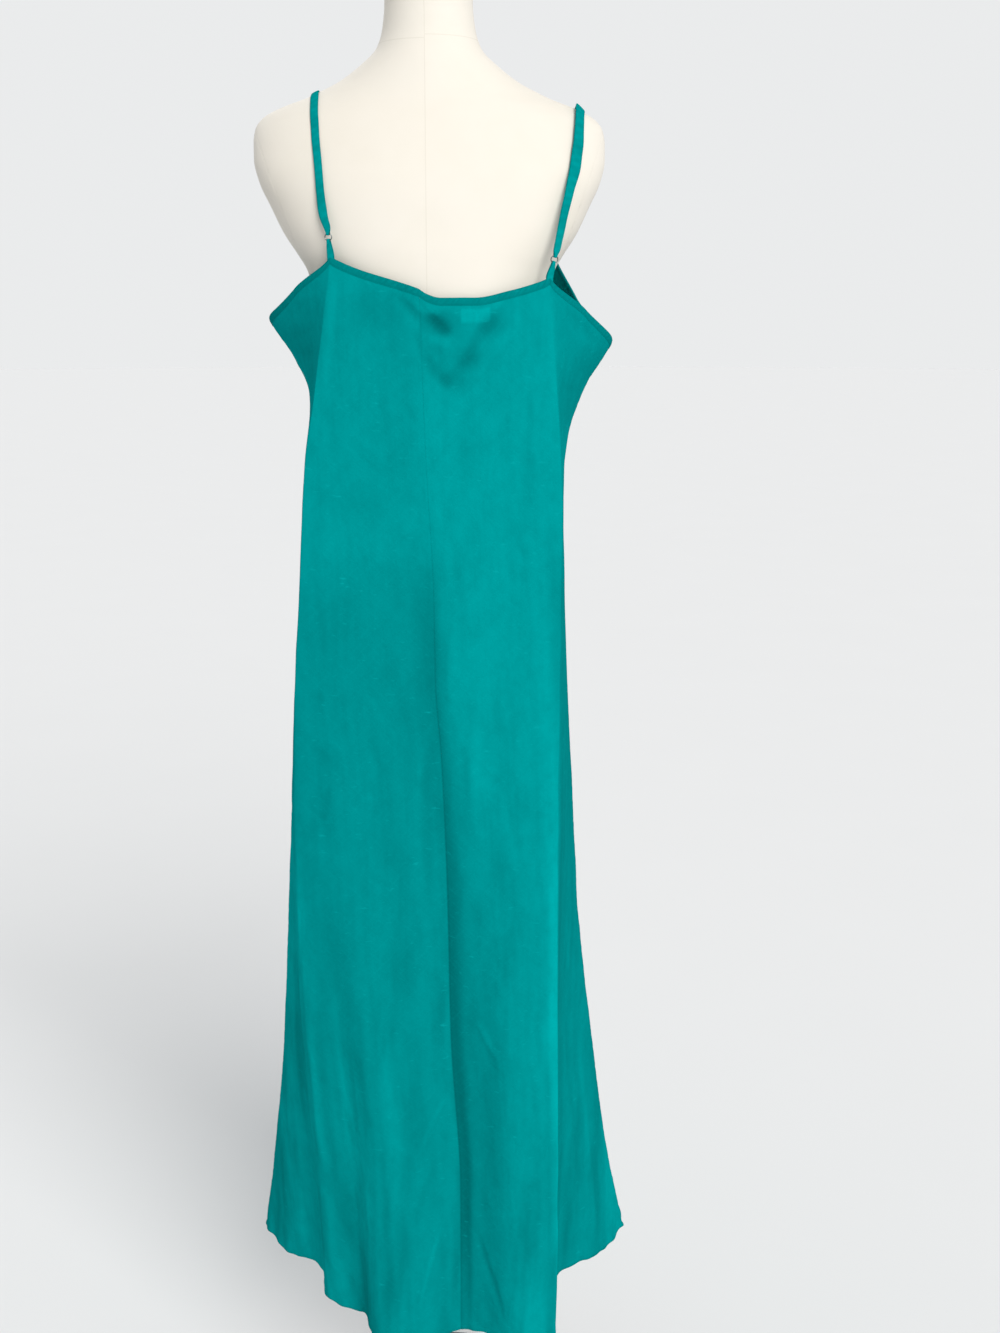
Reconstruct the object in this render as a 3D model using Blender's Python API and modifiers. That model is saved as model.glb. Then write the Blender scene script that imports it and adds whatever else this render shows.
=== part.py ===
"""Long bias-cut slip dress with ringed straps, hanging on a limbless dress form with a round base.

Frame: metres, +Z up, origin on the floor under the middle of the base. The wearer's front faces -Y
and the wearer's left is +X. The dress is a wall of cloth through level sections. Each section runs
round the body through named stations: the centre-back seam, the folds that hang from the straps,
the hollows beside them, the side seams and the centre front.
"""

import math
from collections import namedtuple

import bmesh
import bpy
import numpy as np
from mathutils import Matrix, Vector

MM = 0.001

# ---------------------------------------------------------------- cloth sizes
WALL = 1.5 * MM             # dress cloth
SEAM_GAP = 0.3 * MM         # between pieces that are sewn together
BAND_HEIGHT = 8.0 * MM      # binding of the neck and armholes
BAND_WALL = 2.2 * MM
BAND_ROUNDING = (0.3, 1.0, 0.6)     # how proud the binding stands at its top, middle and foot
CORNER_FLAT = 0.06          # half length of the level top at a strap corner, in stations
HEM_HEIGHT = 0.240

STRAP_WIDTH = 8.4 * MM
STRAP_THICK = 2.0 * MM
TAB_WIDTH = 6.6 * MM
PLY_THICK = 0.9 * MM        # cloth where it turns round a ring
LOOP_WIDTH = 3.6 * MM
RING_RADIUS = 3.75 * MM
RING_WIRE = 0.55 * MM
LABEL_THICK = 0.8 * MM
REST_GAP = 0.35 * MM         # between a strap and the form it lies on

# ---------------------------------------------------------------- form sizes
TORSO_BOTTOM = 0.880
FORM_COLUMNS = 44
FORM_ROW_STEP = 0.030
BUST_X = 0.072              # middle of each bust mound
BUST_HEIGHT = 1.352
BUST_SPREAD = (0.050, 0.062)
BUST_REACH = 0.020
ARM_CUT = ((0.1830, 1.580), (0.1450, 1.470))    # the plane of an armhole, as (x, height) points
ARM_CUT_LOW = 1.4365
ARM_CUTTER = (0.10, 0.30, 0.20)
POLE_RADIUS = 0.0125
BASE_RADIUS = 0.155
BASE_HEIGHT = 0.016

# ---------------------------------------------------------------- stations round the dress
BACK_SEAM, LEFT_BACK_FOLD, LEFT_HOLLOW, LEFT_SIDE, LEFT_FRONT_HOLLOW, LEFT_FRONT_FOLD = range(6)
FRONT_MIDDLE, RIGHT_FRONT_FOLD, RIGHT_FRONT_HOLLOW, RIGHT_SIDE, RIGHT_HOLLOW, RIGHT_BACK_FOLD = range(6, 12)
STATION_COUNT = 12
STRAP_CORNERS = (LEFT_BACK_FOLD, LEFT_FRONT_FOLD, RIGHT_FRONT_FOLD, RIGHT_BACK_FOLD)

# How far the section keeps straight towards each station, as a share of the run between two.
# A small share makes a tight fold, a large one a round turn.
TURN_SHARE = (0.30, 0.20, 0.30, 0.16, 0.30, 0.22, 0.34, 0.22, 0.30, 0.16, 0.30, 0.20)

# Columns of the mesh between one station and the next.
RUN_COLUMNS = (9, 4, 4, 4, 4, 8, 8, 4, 4, 4, 4, 9)

BackSeam = namedtuple("BackSeam", "height x y")
BACK_SEAM_LINE = (
    BackSeam(1.470, 0.0145, 0.0940),
    BackSeam(1.415, 0.0127, 0.0960),
    BackSeam(1.240, 0.0076, 0.1000),
    BackSeam(1.106, 0.0012, 0.1070),
    BackSeam(1.005, 0.0000, 0.1150),
    BackSeam(0.930, -0.0055, 0.1200),
    BackSeam(0.775, -0.0110, 0.1270),
    BackSeam(0.610, -0.0135, 0.1300),
    BackSeam(0.420, -0.0230, 0.1330),
    BackSeam(0.240, -0.0228, 0.1380),
)

# One side of the dress: the fold under the back strap, the hollow in front of it and the side seam.
Side = namedtuple("Side", "height fold_x fold_y hollow_x hollow_y seam_x seam_y")
LEFT_SIDE_SHAPE = (
    Side(1.470, 0.1005, 0.074, 0.1460, 0.042, 0.1900, 0.000),
    Side(1.442, 0.1028, 0.076, 0.1450, 0.043, 0.1870, 0.000),
    Side(1.385, 0.1105, 0.083, 0.1410, 0.045, 0.1740, -0.002),
    Side(1.345, 0.1165, 0.087, 0.1330, 0.047, 0.1465, -0.003),
    Side(1.304, 0.1222, 0.091, 0.1295, 0.048, 0.1305, -0.004),
    Side(1.243, 0.1320, 0.096, 0.1340, 0.048, 0.1320, -0.004),
    Side(1.110, 0.1412, 0.104, 0.1445, 0.050, 0.1440, -0.004),
    Side(0.980, 0.1498, 0.113, 0.1530, 0.052, 0.1570, -0.005),
    Side(0.860, 0.1530, 0.118, 0.1585, 0.052, 0.1660, -0.006),
    Side(0.700, 0.1505, 0.117, 0.1590, 0.048, 0.1770, -0.014),
    Side(0.500, 0.1430, 0.102, 0.1560, 0.038, 0.1920, -0.032),
    Side(0.360, 0.1390, 0.088, 0.1500, 0.026, 0.2090, -0.052),
    Side(0.240, 0.1370, 0.076, 0.1480, 0.016, 0.2270, -0.078),
)
RIGHT_SIDE_SHAPE = (
    Side(1.470, 0.1215, 0.068, 0.1690, 0.040, 0.2180, 0.000),
    Side(1.424, 0.1217, 0.072, 0.1660, 0.042, 0.2120, 0.000),
    Side(1.361, 0.1245, 0.080, 0.1610, 0.044, 0.1955, -0.002),
    Side(1.315, 0.1280, 0.085, 0.1470, 0.046, 0.1650, -0.003),
    Side(1.261, 0.1320, 0.090, 0.1410, 0.048, 0.1470, -0.004),
    Side(1.190, 0.1342, 0.096, 0.1400, 0.050, 0.1410, -0.004),
    Side(1.096, 0.1335, 0.103, 0.1420, 0.052, 0.1445, -0.005),
    Side(0.960, 0.1320, 0.113, 0.1450, 0.054, 0.1520, -0.006),
    Side(0.860, 0.1310, 0.120, 0.1460, 0.050, 0.1580, -0.010),
    Side(0.700, 0.1305, 0.132, 0.1450, 0.044, 0.1680, -0.020),
    Side(0.510, 0.1300, 0.146, 0.1440, 0.036, 0.1900, -0.034),
    Side(0.360, 0.1275, 0.156, 0.1430, 0.034, 0.2110, -0.046),
    Side(0.240, 0.1245, 0.164, 0.1420, 0.033, 0.2360, -0.060),
)

# The front: the fold under each front strap, the middle, and how far the cloth between a side seam
# and its front fold is tucked in from a straight line.
Front = namedtuple("Front", "height left_x left_y middle_y right_x right_y tuck")
FRONT_SHAPE = (
    Front(1.500, 0.1080, -0.084, -0.104, 0.1330, -0.080, 0.013),
    Front(1.460, 0.1090, -0.092, -0.110, 0.1340, -0.089, 0.013),
    Front(1.400, 0.1110, -0.113, -0.124, 0.1370, -0.110, 0.010),
    Front(1.350, 0.1130, -0.127, -0.131, 0.1390, -0.124, 0.004),
    Front(1.280, 0.1150, -0.131, -0.133, 0.1400, -0.129, 0.000),
    Front(1.180, 0.1180, -0.130, -0.132, 0.1400, -0.129, 0.001),
    Front(1.080, 0.1240, -0.131, -0.133, 0.1410, -0.130, 0.002),
    Front(0.960, 0.1310, -0.135, -0.138, 0.1440, -0.134, 0.003),
    Front(0.800, 0.1330, -0.144, -0.145, 0.1450, -0.143, 0.008),
    Front(0.600, 0.1330, -0.157, -0.152, 0.1460, -0.158, 0.017),
    Front(0.400, 0.1350, -0.171, -0.158, 0.1490, -0.173, 0.026),
    Front(0.240, 0.1380, -0.184, -0.163, 0.1530, -0.188, 0.034),
)

# Finished top edge: its height at stations round the dress.
Edge = namedtuple("Edge", "station height")
TOP_EDGE = (
    Edge(0.00, 1.4150),
    Edge(0.50, 1.4300),
    Edge(1.00, 1.4440),
    Edge(2.00, 1.4140),
    Edge(2.50, 1.3965),
    Edge(3.00, 1.3850),
    Edge(4.00, 1.4190),
    Edge(5.00, 1.4740),
    Edge(5.45, 1.4110),
    Edge(6.00, 1.3540),
    Edge(6.55, 1.4030),
    Edge(7.00, 1.4640),
    Edge(8.00, 1.4050),
    Edge(8.50, 1.3750),
    Edge(9.00, 1.3610),
    Edge(9.50, 1.3745),
    Edge(10.00, 1.3950),
    Edge(11.00, 1.4240),
    Edge(11.35, 1.4100),
    Edge(11.66, 1.4062),
    Edge(12.00, 1.4150),
)
EDGE_CORNERS = (BACK_SEAM, LEFT_BACK_FOLD, LEFT_SIDE, LEFT_FRONT_FOLD, FRONT_MIDDLE, RIGHT_FRONT_FOLD,
                RIGHT_SIDE, RIGHT_BACK_FOLD, STATION_COUNT)

# Flutes and troughs that run down the cloth. station and drift place the line (drift is its shift
# towards the start height), before and after are its widths to each side in stations, and depth is
# how far it stands out at the hem.
Flute = namedtuple("Flute", "name station drift before after depth start")
FLUTES = (
    Flute("left_back_flute", 0.45, 0.10, 0.55, 0.20, 0.043, 0.90),
    Flute("right_back_flute", 11.50, 0.05, 0.30, 0.30, 0.016, 0.95),
    Flute("seam_trough", 11.99, 0.00, 0.14, 0.14, -0.0065, 1.12),
    Flute("left_side_flute", 2.41, 0.00, 0.33, 0.33, 0.012, 0.60),
    Flute("left_front_roll", 4.45, 0.00, 0.42, 0.42, 0.012, 0.80),
    Flute("left_front_flute", 5.42, -0.05, 0.36, 0.36, 0.020, 0.92),
    Flute("front_trough", 5.93, 0.04, 0.30, 0.30, -0.010, 1.02),
    Flute("right_front_flute", 6.52, 0.06, 0.34, 0.34, 0.017, 0.88),
    Flute("right_front_roll", 7.50, 0.00, 0.40, 0.40, 0.012, 0.76),
    Flute("right_side_flute", 9.63, 0.00, 0.50, 0.50, 0.017, 0.55),
)

# Slack that sags under a neck edge, as shallow hammocks: centre and half sizes in stations and metres.
Sag = namedtuple("Sag", "name station spread height drop depth")
SAGS = (
    Sag("back_upper", 11.93, 0.36, 1.376, 0.016, -0.0030),
    Sag("back_lower", 11.90, 0.28, 1.345, 0.018, -0.0022),
    Sag("front_upper", 6.00, 0.40, 1.318, 0.018, -0.0030),
    Sag("front_lower", 5.96, 0.30, 1.282, 0.020, -0.0022),
)
SAG_RISE = 0.055            # how much higher a sag's ends lie than its middle

# Where the tape lies, in columns and rows of the right back panel.
LABEL_COLUMNS = (12.5, 13.0, 13.8)
LABEL_ROWS = (0.12, 1.0)

# Rows of the panels, as shares of the way from the top edge to the hem.
UPPER_ROWS = 10
UPPER_SHARE = 0.145
LOWER_ROWS = 15

# ---------------------------------------------------------------- form sections
FormSection = namedtuple("FormSection", "height half_width front back power")
FORM_SECTIONS = (
    FormSection(0.880, 0.1300, 0.074, 0.088, 2.3),
    FormSection(0.884, 0.1380, 0.082, 0.097, 2.3),
    FormSection(0.896, 0.1440, 0.088, 0.103, 2.3),
    FormSection(0.960, 0.1475, 0.096, 0.111, 2.3),
    FormSection(1.020, 0.1420, 0.098, 0.106, 2.3),
    FormSection(1.100, 0.1240, 0.093, 0.089, 2.3),
    FormSection(1.160, 0.1130, 0.087, 0.079, 2.3),
    FormSection(1.205, 0.1100, 0.085, 0.075, 2.3),
    FormSection(1.260, 0.1160, 0.090, 0.077, 2.3),
    FormSection(1.330, 0.1250, 0.099, 0.082, 2.3),
    FormSection(1.380, 0.1270, 0.102, 0.085, 2.3),
    FormSection(1.420, 0.1280, 0.099, 0.086, 2.3),
    FormSection(1.434, 0.1310, 0.098, 0.086, 2.3),
    FormSection(1.450, 0.1400, 0.096, 0.086, 2.3),
    FormSection(1.472, 0.1544, 0.093, 0.085, 2.3),
    FormSection(1.498, 0.1670, 0.090, 0.084, 2.25),
    FormSection(1.527, 0.1800, 0.084, 0.080, 2.15),
    FormSection(1.547, 0.1842, 0.078, 0.075, 2.0),
    FormSection(1.564, 0.1840, 0.071, 0.070, 1.9),
    FormSection(1.578, 0.1815, 0.066, 0.066, 1.8),
    FormSection(1.588, 0.1740, 0.062, 0.063, 1.75),
    FormSection(1.598, 0.1560, 0.059, 0.060, 1.7),
    FormSection(1.6085, 0.1270, 0.057, 0.057, 1.7),
    FormSection(1.6150, 0.1128, 0.0565, 0.0555, 1.72),
    FormSection(1.622, 0.0980, 0.056, 0.054, 1.75),
    FormSection(1.638, 0.0745, 0.055, 0.051, 1.85),
    FormSection(1.657, 0.0545, 0.054, 0.047, 2.0),
    FormSection(1.674, 0.0485, 0.054, 0.044, 2.0),
    FormSection(1.700, 0.0455, 0.053, 0.043, 2.0),
    FormSection(1.734, 0.0450, 0.052, 0.043, 2.0),
    FormSection(1.740, 0.0410, 0.048, 0.039, 2.0),
)

# ---------------------------------------------------------------- strap routes
# Points from the ring over the shoulder to the front corner, with the strap's width there in mm and
# its twist about its own line in degrees. A point that rests is moved onto the form at its own x.
StrapPoint = namedtuple("StrapPoint", "x y z width twist rests")
LEFT_STRAP_ROUTE = (
    StrapPoint(0.1082, 0.0745, 1.486, 8.0, 0.0, False),
    StrapPoint(0.1112, 0.0712, 1.510, 7.6, 0.0, False),
    StrapPoint(0.1138, 0.0650, 1.538, 7.6, 0.0, False),
    StrapPoint(0.1164, 0.0550, 1.562, 8.0, 0.0, True),
    StrapPoint(0.1184, 0.0400, 1.584, 7.6, 0.0, True),
    StrapPoint(0.1194, 0.0220, 1.602, 7.2, 0.0, True),
    StrapPoint(0.1190, 0.0000, 1.612, 7.2, 0.0, True),
    StrapPoint(0.1184, -0.0220, 1.602, 7.6, 0.0, True),
    StrapPoint(0.1174, -0.0400, 1.584, 8.0, 0.0, True),
    StrapPoint(0.1160, -0.0550, 1.562, 8.4, 0.0, True),
    StrapPoint(0.1144, -0.0670, 1.536, 8.4, 0.0, False),
    StrapPoint(0.1116, -0.0810, 1.502, 8.4, 0.0, False),
)
RIGHT_STRAP_ROUTE = (
    StrapPoint(-0.1306, 0.0705, 1.463, 8.4, 0.0, False),
    StrapPoint(-0.1352, 0.0672, 1.485, 8.8, 0.0, False),
    StrapPoint(-0.1424, 0.0600, 1.514, 10.0, 6.0, False),
    StrapPoint(-0.1480, 0.0500, 1.540, 11.6, 10.0, True),
    StrapPoint(-0.1520, 0.0380, 1.562, 9.6, 22.0, True),
    StrapPoint(-0.1548, 0.0220, 1.584, 8.2, 26.0, True),
    StrapPoint(-0.1568, 0.0000, 1.597, 9.4, 20.0, True),
    StrapPoint(-0.1560, -0.0220, 1.584, 9.0, 6.0, True),
    StrapPoint(-0.1530, -0.0380, 1.562, 8.4, 0.0, True),
    StrapPoint(-0.1490, -0.0510, 1.540, 8.4, 0.0, True),
    StrapPoint(-0.1434, -0.0650, 1.514, 8.4, 0.0, False),
    StrapPoint(-0.1378, -0.0790, 1.488, 8.4, 0.0, False),
)
STRAP_SIDES = 10
STRAP_SQUARENESS = 0.75     # power of the strap's section: 1 is an ellipse, 0 a rectangle
EDGE_SHARE = 0.42           # how far from its middle a tilted strap touches the form, over its width
STRAP_NECK = 0.80           # share of its width that a strap keeps beside its ring
STRAP_TAIL = 0.75           # and in the middle of its turned-back end
RISE_FROM_RING = 5.0 * MM
TAIL_REACH = 0.75           # how far that end goes along the strap's first stretch, as a share of it
TAIL_GAP = 0.4 * MM         # between that end and the strap over it

# A tab's length, and how far its top leans along x and y for each metre of height.
Tab = namedtuple("Tab", "length lean_x lean_y")
TABS = {"left": Tab(20.0 * MM, 0.085, 0.03), "right": Tab(17.5 * MM, -0.245, 0.03)}
TAB_SPREAD = 0.2 * MM       # how far each leg of a tab stands out from the middle of the cloth

Finish = namedtuple("Finish", "name color roughness metallic")
TEAL_CLOTH = Finish("teal_cloth", (0.000, 0.310, 0.300, 1.0), 0.48, 0.0)
TEAL_BINDING = Finish("teal_binding", (0.000, 0.260, 0.255, 1.0), 0.50, 0.0)
TEAL_STRAP = Finish("teal_strap", (0.000, 0.280, 0.275, 1.0), 0.45, 0.0)
LABEL_TAPE = Finish("label_tape", (0.180, 0.520, 0.500, 1.0), 0.60, 0.0)
RING_METAL = Finish("ring_metal", (0.160, 0.170, 0.170, 1.0), 0.32, 1.0)
FORM_CLOTH = Finish("form_cloth", (0.860, 0.810, 0.710, 1.0), 0.85, 0.0)
STAND_METAL = Finish("stand_metal", (0.030, 0.028, 0.026, 1.0), 0.45, 0.6)


# ---------------------------------------------------------------- scene and materials
def clear_scene():
    """Remove every object, so that the model starts from nothing."""
    for old in list(bpy.data.objects):
        bpy.data.objects.remove(old, do_unlink=True)


def new_collection(name):
    """Make a collection for the model and link it to the scene."""
    collection = bpy.data.collections.new(name)
    bpy.context.scene.collection.children.link(collection)
    return collection


def material(finish):
    """Return the Principled material of a finish, made once."""
    made = bpy.data.materials.get(finish.name)
    if made:
        return made
    made = bpy.data.materials.new(finish.name)
    made.use_nodes = True
    made.diffuse_color = finish.color
    shader = made.node_tree.nodes["Principled BSDF"]
    shader.inputs["Base Color"].default_value = finish.color
    shader.inputs["Roughness"].default_value = finish.roughness
    shader.inputs["Metallic"].default_value = finish.metallic
    return made


def add_mesh_object(name, mesh, finish):
    """Put a mesh in the model as a named, smooth-shaded object."""
    mesh.materials.clear()
    mesh.materials.append(material(finish))
    mesh.shade_smooth()
    mesh.set_sharp_from_angle(angle=math.radians(50))
    made = bpy.data.objects.new(name, mesh)
    MODEL.objects.link(made)
    return made


def mesh_from(name, points, faces):
    """Make a mesh with its faces pointing out from points and faces."""
    mesh = bpy.data.meshes.new(name)
    mesh.from_pydata([tuple(point) for point in points], [], faces)
    shape = bmesh.new()
    shape.from_mesh(mesh)
    bmesh.ops.recalc_face_normals(shape, faces=shape.faces)
    shape.to_mesh(mesh)
    shape.free()
    return mesh


# ---------------------------------------------------------------- reading the tables
def smooth_curve(knots, values, where):
    """Read a curve through (knots, values) at any places, without overshoot between the knots."""
    knots = np.asarray(knots, dtype=float)
    values = np.asarray(values, dtype=float)
    where = np.clip(np.asarray(where, dtype=float), knots[0], knots[-1])
    step = np.diff(knots)
    rise = np.diff(values) / step
    slope = np.empty_like(values)
    slope[0] = rise[0]
    slope[-1] = rise[-1]
    for index in range(1, len(knots) - 1):
        before = rise[index - 1]
        after = rise[index]
        if before * after <= 0.0:
            slope[index] = 0.0
        else:
            near = 2.0 * step[index] + step[index - 1]
            far = step[index] + 2.0 * step[index - 1]
            slope[index] = (near + far) / (near / before + far / after)
    piece = np.clip(np.searchsorted(knots, where, side="right") - 1, 0, len(step) - 1)
    share = (where - knots[piece]) / step[piece]
    share2 = share * share
    share3 = share2 * share
    return ((2 * share3 - 3 * share2 + 1) * values[piece]
            + (share3 - 2 * share2 + share) * step[piece] * slope[piece]
            + (3 * share2 - 2 * share3) * values[piece + 1]
            + (share3 - share2) * step[piece] * slope[piece + 1])


def column_at(rows, column, height):
    """Read one named column of a table of heights."""
    ordered = sorted(rows, key=lambda row: row.height)
    knots = [row.height for row in ordered]
    values = [getattr(row, column) for row in ordered]
    return smooth_curve(knots, values, height)


def edge_height(station):
    """Height of the finished top edge, with its corners kept sharp and level for a short way."""
    station = np.asarray(station, dtype=float)
    height = np.empty_like(station)
    for start, end in zip(EDGE_CORNERS[:-1], EDGE_CORNERS[1:]):
        rows = [row for row in TOP_EDGE if start <= row.station <= end]
        here = (station >= start) & (station <= end)
        first = start + CORNER_FLAT if start in STRAP_CORNERS else start
        last = end - CORNER_FLAT if end in STRAP_CORNERS else end
        spread = first + (np.array([row.station for row in rows]) - start) * (last - first) / (end - start)
        height[here] = smooth_curve(spread, [row.height for row in rows], station[here])
    return height


# ---------------------------------------------------------------- the dress's surface
def station_points(height):
    """Places (x, y) of the twelve stations at each height; the shape is stations x heights x 2."""
    def left(column):
        return column_at(LEFT_SIDE_SHAPE, column, height)

    def right(column):
        return column_at(RIGHT_SIDE_SHAPE, column, height)

    def front(column):
        return column_at(FRONT_SHAPE, column, height)

    tuck = front("tuck")
    places = (
        (column_at(BACK_SEAM_LINE, "x", height), column_at(BACK_SEAM_LINE, "y", height)),
        (left("fold_x"), left("fold_y")),
        (left("hollow_x"), left("hollow_y")),
        (left("seam_x"), left("seam_y")),
        (0.5 * (left("seam_x") + front("left_x")) - tuck, 0.5 * (left("seam_y") + front("left_y"))),
        (front("left_x"), front("left_y")),
        (np.zeros_like(height), front("middle_y")),
        (-front("right_x"), front("right_y")),
        (tuck - 0.5 * (right("seam_x") + front("right_x")), 0.5 * (right("seam_y") + front("right_y"))),
        (-right("seam_x"), right("seam_y")),
        (-right("hollow_x"), right("hollow_y")),
        (-right("fold_x"), right("fold_y")),
    )
    return np.stack([np.stack(place, axis=-1) for place in places])


def unit(vectors):
    """Scale vectors along the last axis to length one."""
    return vectors / np.linalg.norm(vectors, axis=-1, keepdims=True)


def section_curve(station, height):
    """Point and outward normal in plan of the plain section at each station and height."""
    points = station_points(height)
    ahead = unit(np.roll(points, -1, axis=0) - points)
    heading = unit(ahead + np.roll(ahead, 1, axis=0))
    station = np.mod(station, STATION_COUNT)
    near = np.minimum(station.astype(int), STATION_COUNT - 1)
    far = (near + 1) % STATION_COUNT
    share = (station - near)[..., None]
    grid = np.indices(station.shape)
    start = points[(near, *grid)]
    end = points[(far, *grid)]
    run = np.linalg.norm(end - start, axis=-1, keepdims=True)
    turn = np.array(TURN_SHARE)
    leave = start + heading[(near, *grid)] * run * turn[near][..., None]
    arrive = end - heading[(far, *grid)] * run * turn[far][..., None]
    rest = 1.0 - share
    place = rest**3 * start + 3 * rest**2 * share * leave + 3 * rest * share**2 * arrive + share**3 * end
    along = unit(rest**2 * (leave - start) + 2 * rest * share * (arrive - leave) + share**2 * (end - arrive))
    outward = np.stack((-along[..., 1], along[..., 0]), axis=-1)
    return place, outward


def bump(distance):
    """Smooth hump: 1 at zero distance, 0 from distance 1 outwards."""
    inside = np.clip(1.0 - distance * distance, 0.0, 1.0)
    return inside * inside


def station_gap(station, middle):
    """Shortest way round from one station to another."""
    return np.mod(station - middle + STATION_COUNT / 2, STATION_COUNT) - STATION_COUNT / 2


def fold_depth(station, height):
    """How far flutes and sags move the cloth outwards."""
    depth = np.zeros_like(height)
    for flute in FLUTES:
        fall = np.clip((flute.start - height) / (flute.start - HEM_HEIGHT), 0.0, 1.1)
        grow = fall**1.5
        gap = station_gap(station, flute.station + flute.drift * (1.0 - fall))
        width = np.where(gap < 0.0, flute.before, flute.after)
        depth += flute.depth * grow * bump(gap / width)
    for sag in SAGS:
        side = station_gap(station, sag.station) / sag.spread
        middle = sag.height + SAG_RISE * side * side
        depth += sag.depth * bump(side) * bump((height - middle) / sag.drop)
    return depth


def cloth_points(station, height):
    """Points on the outside of the dress at stations round it and heights."""
    place, outward = section_curve(station, height)
    place = place + outward * fold_depth(station, height)[..., None]
    return np.concatenate((place, height[..., None]), axis=-1)


def cloth_normals(station, height):
    """Outward normals of the dress's surface."""
    step = 1e-3
    around = cloth_points(station + step, height) - cloth_points(station - step, height)
    up = cloth_points(station, height + step) - cloth_points(station, height - step)
    return unit(np.cross(up, around))


def station_columns(first, last):
    """Stations of the mesh's columns from one station to another, closer together near each fold."""
    columns = [float(first)]
    for run in range(first, last):
        count = RUN_COLUMNS[run % STATION_COUNT]
        for index in range(1, count + 1):
            share = index / count
            columns.append(run + 0.5 * share + 0.25 * (1.0 - math.cos(math.pi * share)))
    return np.array(columns)


# ---------------------------------------------------------------- walls of cloth
def part_edges(grid, normals):
    """Pull the two end columns of a grid back along the cloth by half a seam gap."""
    for end, inner in ((0, 1), (-1, -2)):
        inward = unit(grid[inner] - grid[end])
        inward = unit(inward - normals[end] * np.sum(inward * normals[end], axis=-1, keepdims=True))
        grid[end] += inward * SEAM_GAP / 2


def quad_halves(quad, points):
    """Split a quad into two triangles along its shorter diagonal."""
    first, second, third, fourth = quad
    if np.linalg.norm(points[first] - points[third]) <= np.linalg.norm(points[second] - points[fourth]):
        return (first, second, third), (first, third, fourth)
    return (first, second, fourth), (second, third, fourth)


def cloth_wall(name, finish, grid, normals, outside, inside):
    """Make a closed wall of cloth on a grid (columns x rows) between two offsets along its normals."""
    columns, rows = grid.shape[:2]
    outer = grid + normals * np.broadcast_to(outside, (rows,))[None, :, None]
    inner = grid + normals * np.broadcast_to(inside, (rows,))[None, :, None]
    points = np.concatenate((outer.reshape(-1, 3), inner.reshape(-1, 3)))
    skin = columns * rows
    faces = []
    for column in range(columns - 1):
        for row in range(rows - 1):
            corner = column * rows + row
            quad = (corner, corner + 1, corner + rows + 1, corner + rows)
            for half in quad_halves(quad, points):
                faces.append(half)
                faces.append(tuple(skin + index for index in reversed(half)))
    rim = [(column * rows, (column + 1) * rows) for column in range(columns - 1)]
    rim += [((column + 1) * rows - 1, (column + 2) * rows - 1) for column in range(columns - 1)]
    rim += [(row, row + 1) for row in range(rows - 1)]
    last = (columns - 1) * rows
    rim += [(last + row, last + row + 1) for row in range(rows - 1)]
    faces += [(first, second, second + skin, first + skin) for first, second in rim]
    return add_mesh_object(name, mesh_from(name, points, faces), finish)


def panel_heights(columns):
    """Heights of a panel's rows at each column, from under the binding to the hem."""
    top = edge_height(np.mod(columns, STATION_COUNT)) - BAND_HEIGHT - SEAM_GAP
    upper = np.linspace(0.0, UPPER_SHARE, UPPER_ROWS, endpoint=False)
    lower = np.linspace(UPPER_SHARE, 1.0, LOWER_ROWS + 1)
    share = np.concatenate((upper, lower))
    return top[:, None] * (1.0 - share) + HEM_HEIGHT * share


def panel_grid(first, last):
    """Points and normals of a panel's outside between two stations, as columns x rows."""
    columns = station_columns(first, last)
    height = panel_heights(columns)
    station = np.broadcast_to(columns[:, None], height.shape)
    return cloth_points(station, height), cloth_normals(station, height)


def build_panel(name, first, last):
    """Make one cut panel of the dress between two stations."""
    grid, normals = panel_grid(first, last)
    part_edges(grid, normals)
    cloth_wall(name, TEAL_CLOTH, grid, normals, 0.0, -WALL)


def build_band(name, first, last):
    """Make the binding of the top edge between two stations, a little proud of the cloth."""
    columns = station_columns(first, last)
    top = edge_height(np.mod(columns, STATION_COUNT))
    share = np.linspace(0.0, 1.0, len(BAND_ROUNDING))
    height = top[:, None] - BAND_HEIGHT * share
    station = np.broadcast_to(columns[:, None], height.shape)
    grid = cloth_points(station, height)
    normals = cloth_normals(station, height)
    part_edges(grid, normals)
    proud = (BAND_WALL - WALL) / 2
    outside = proud * np.array(BAND_ROUNDING)
    cloth_wall(name, TEAL_BINDING, grid, normals, outside, -WALL - outside)


def between(grid, index):
    """Read a grid at a place between two of its columns, straight from one to the next."""
    low = min(int(index), len(grid) - 2)
    return grid[low] + (grid[low + 1] - grid[low]) * (index - low)


def build_label():
    """Make the blank tape inside the right back, from the panel's own points moved inwards."""
    grid, normals = panel_grid(RIGHT_SIDE, STATION_COUNT)
    across = [between(grid, index) for index in LABEL_COLUMNS]
    facing = [between(normals, index) for index in LABEL_COLUMNS]
    grid = np.stack([[between(column, row) for row in LABEL_ROWS] for column in across])
    normals = np.stack([[between(column, row) for row in LABEL_ROWS] for column in facing])
    inside = -WALL - SEAM_GAP
    cloth_wall("neck_label", LABEL_TAPE, grid, normals, inside, inside - LABEL_THICK)


# ---------------------------------------------------------------- the dress form
def form_row(height):
    """Half width, front and back depth and power of the form's section at a height."""
    return [float(column_at(FORM_SECTIONS, column, np.array(height))) for column in
            ("half_width", "front", "back", "power")]


def bust_reach(x, y, height):
    """How far the bust stands out in front of the plain section."""
    if y >= 0.0:
        return 0.0
    reach = 0.0
    for middle in (BUST_X, -BUST_X):
        across = (x - middle) / BUST_SPREAD[0]
        down = (height - BUST_HEIGHT) / BUST_SPREAD[1]
        reach += BUST_REACH * math.exp(-across * across - down * down)
    return reach


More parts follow.
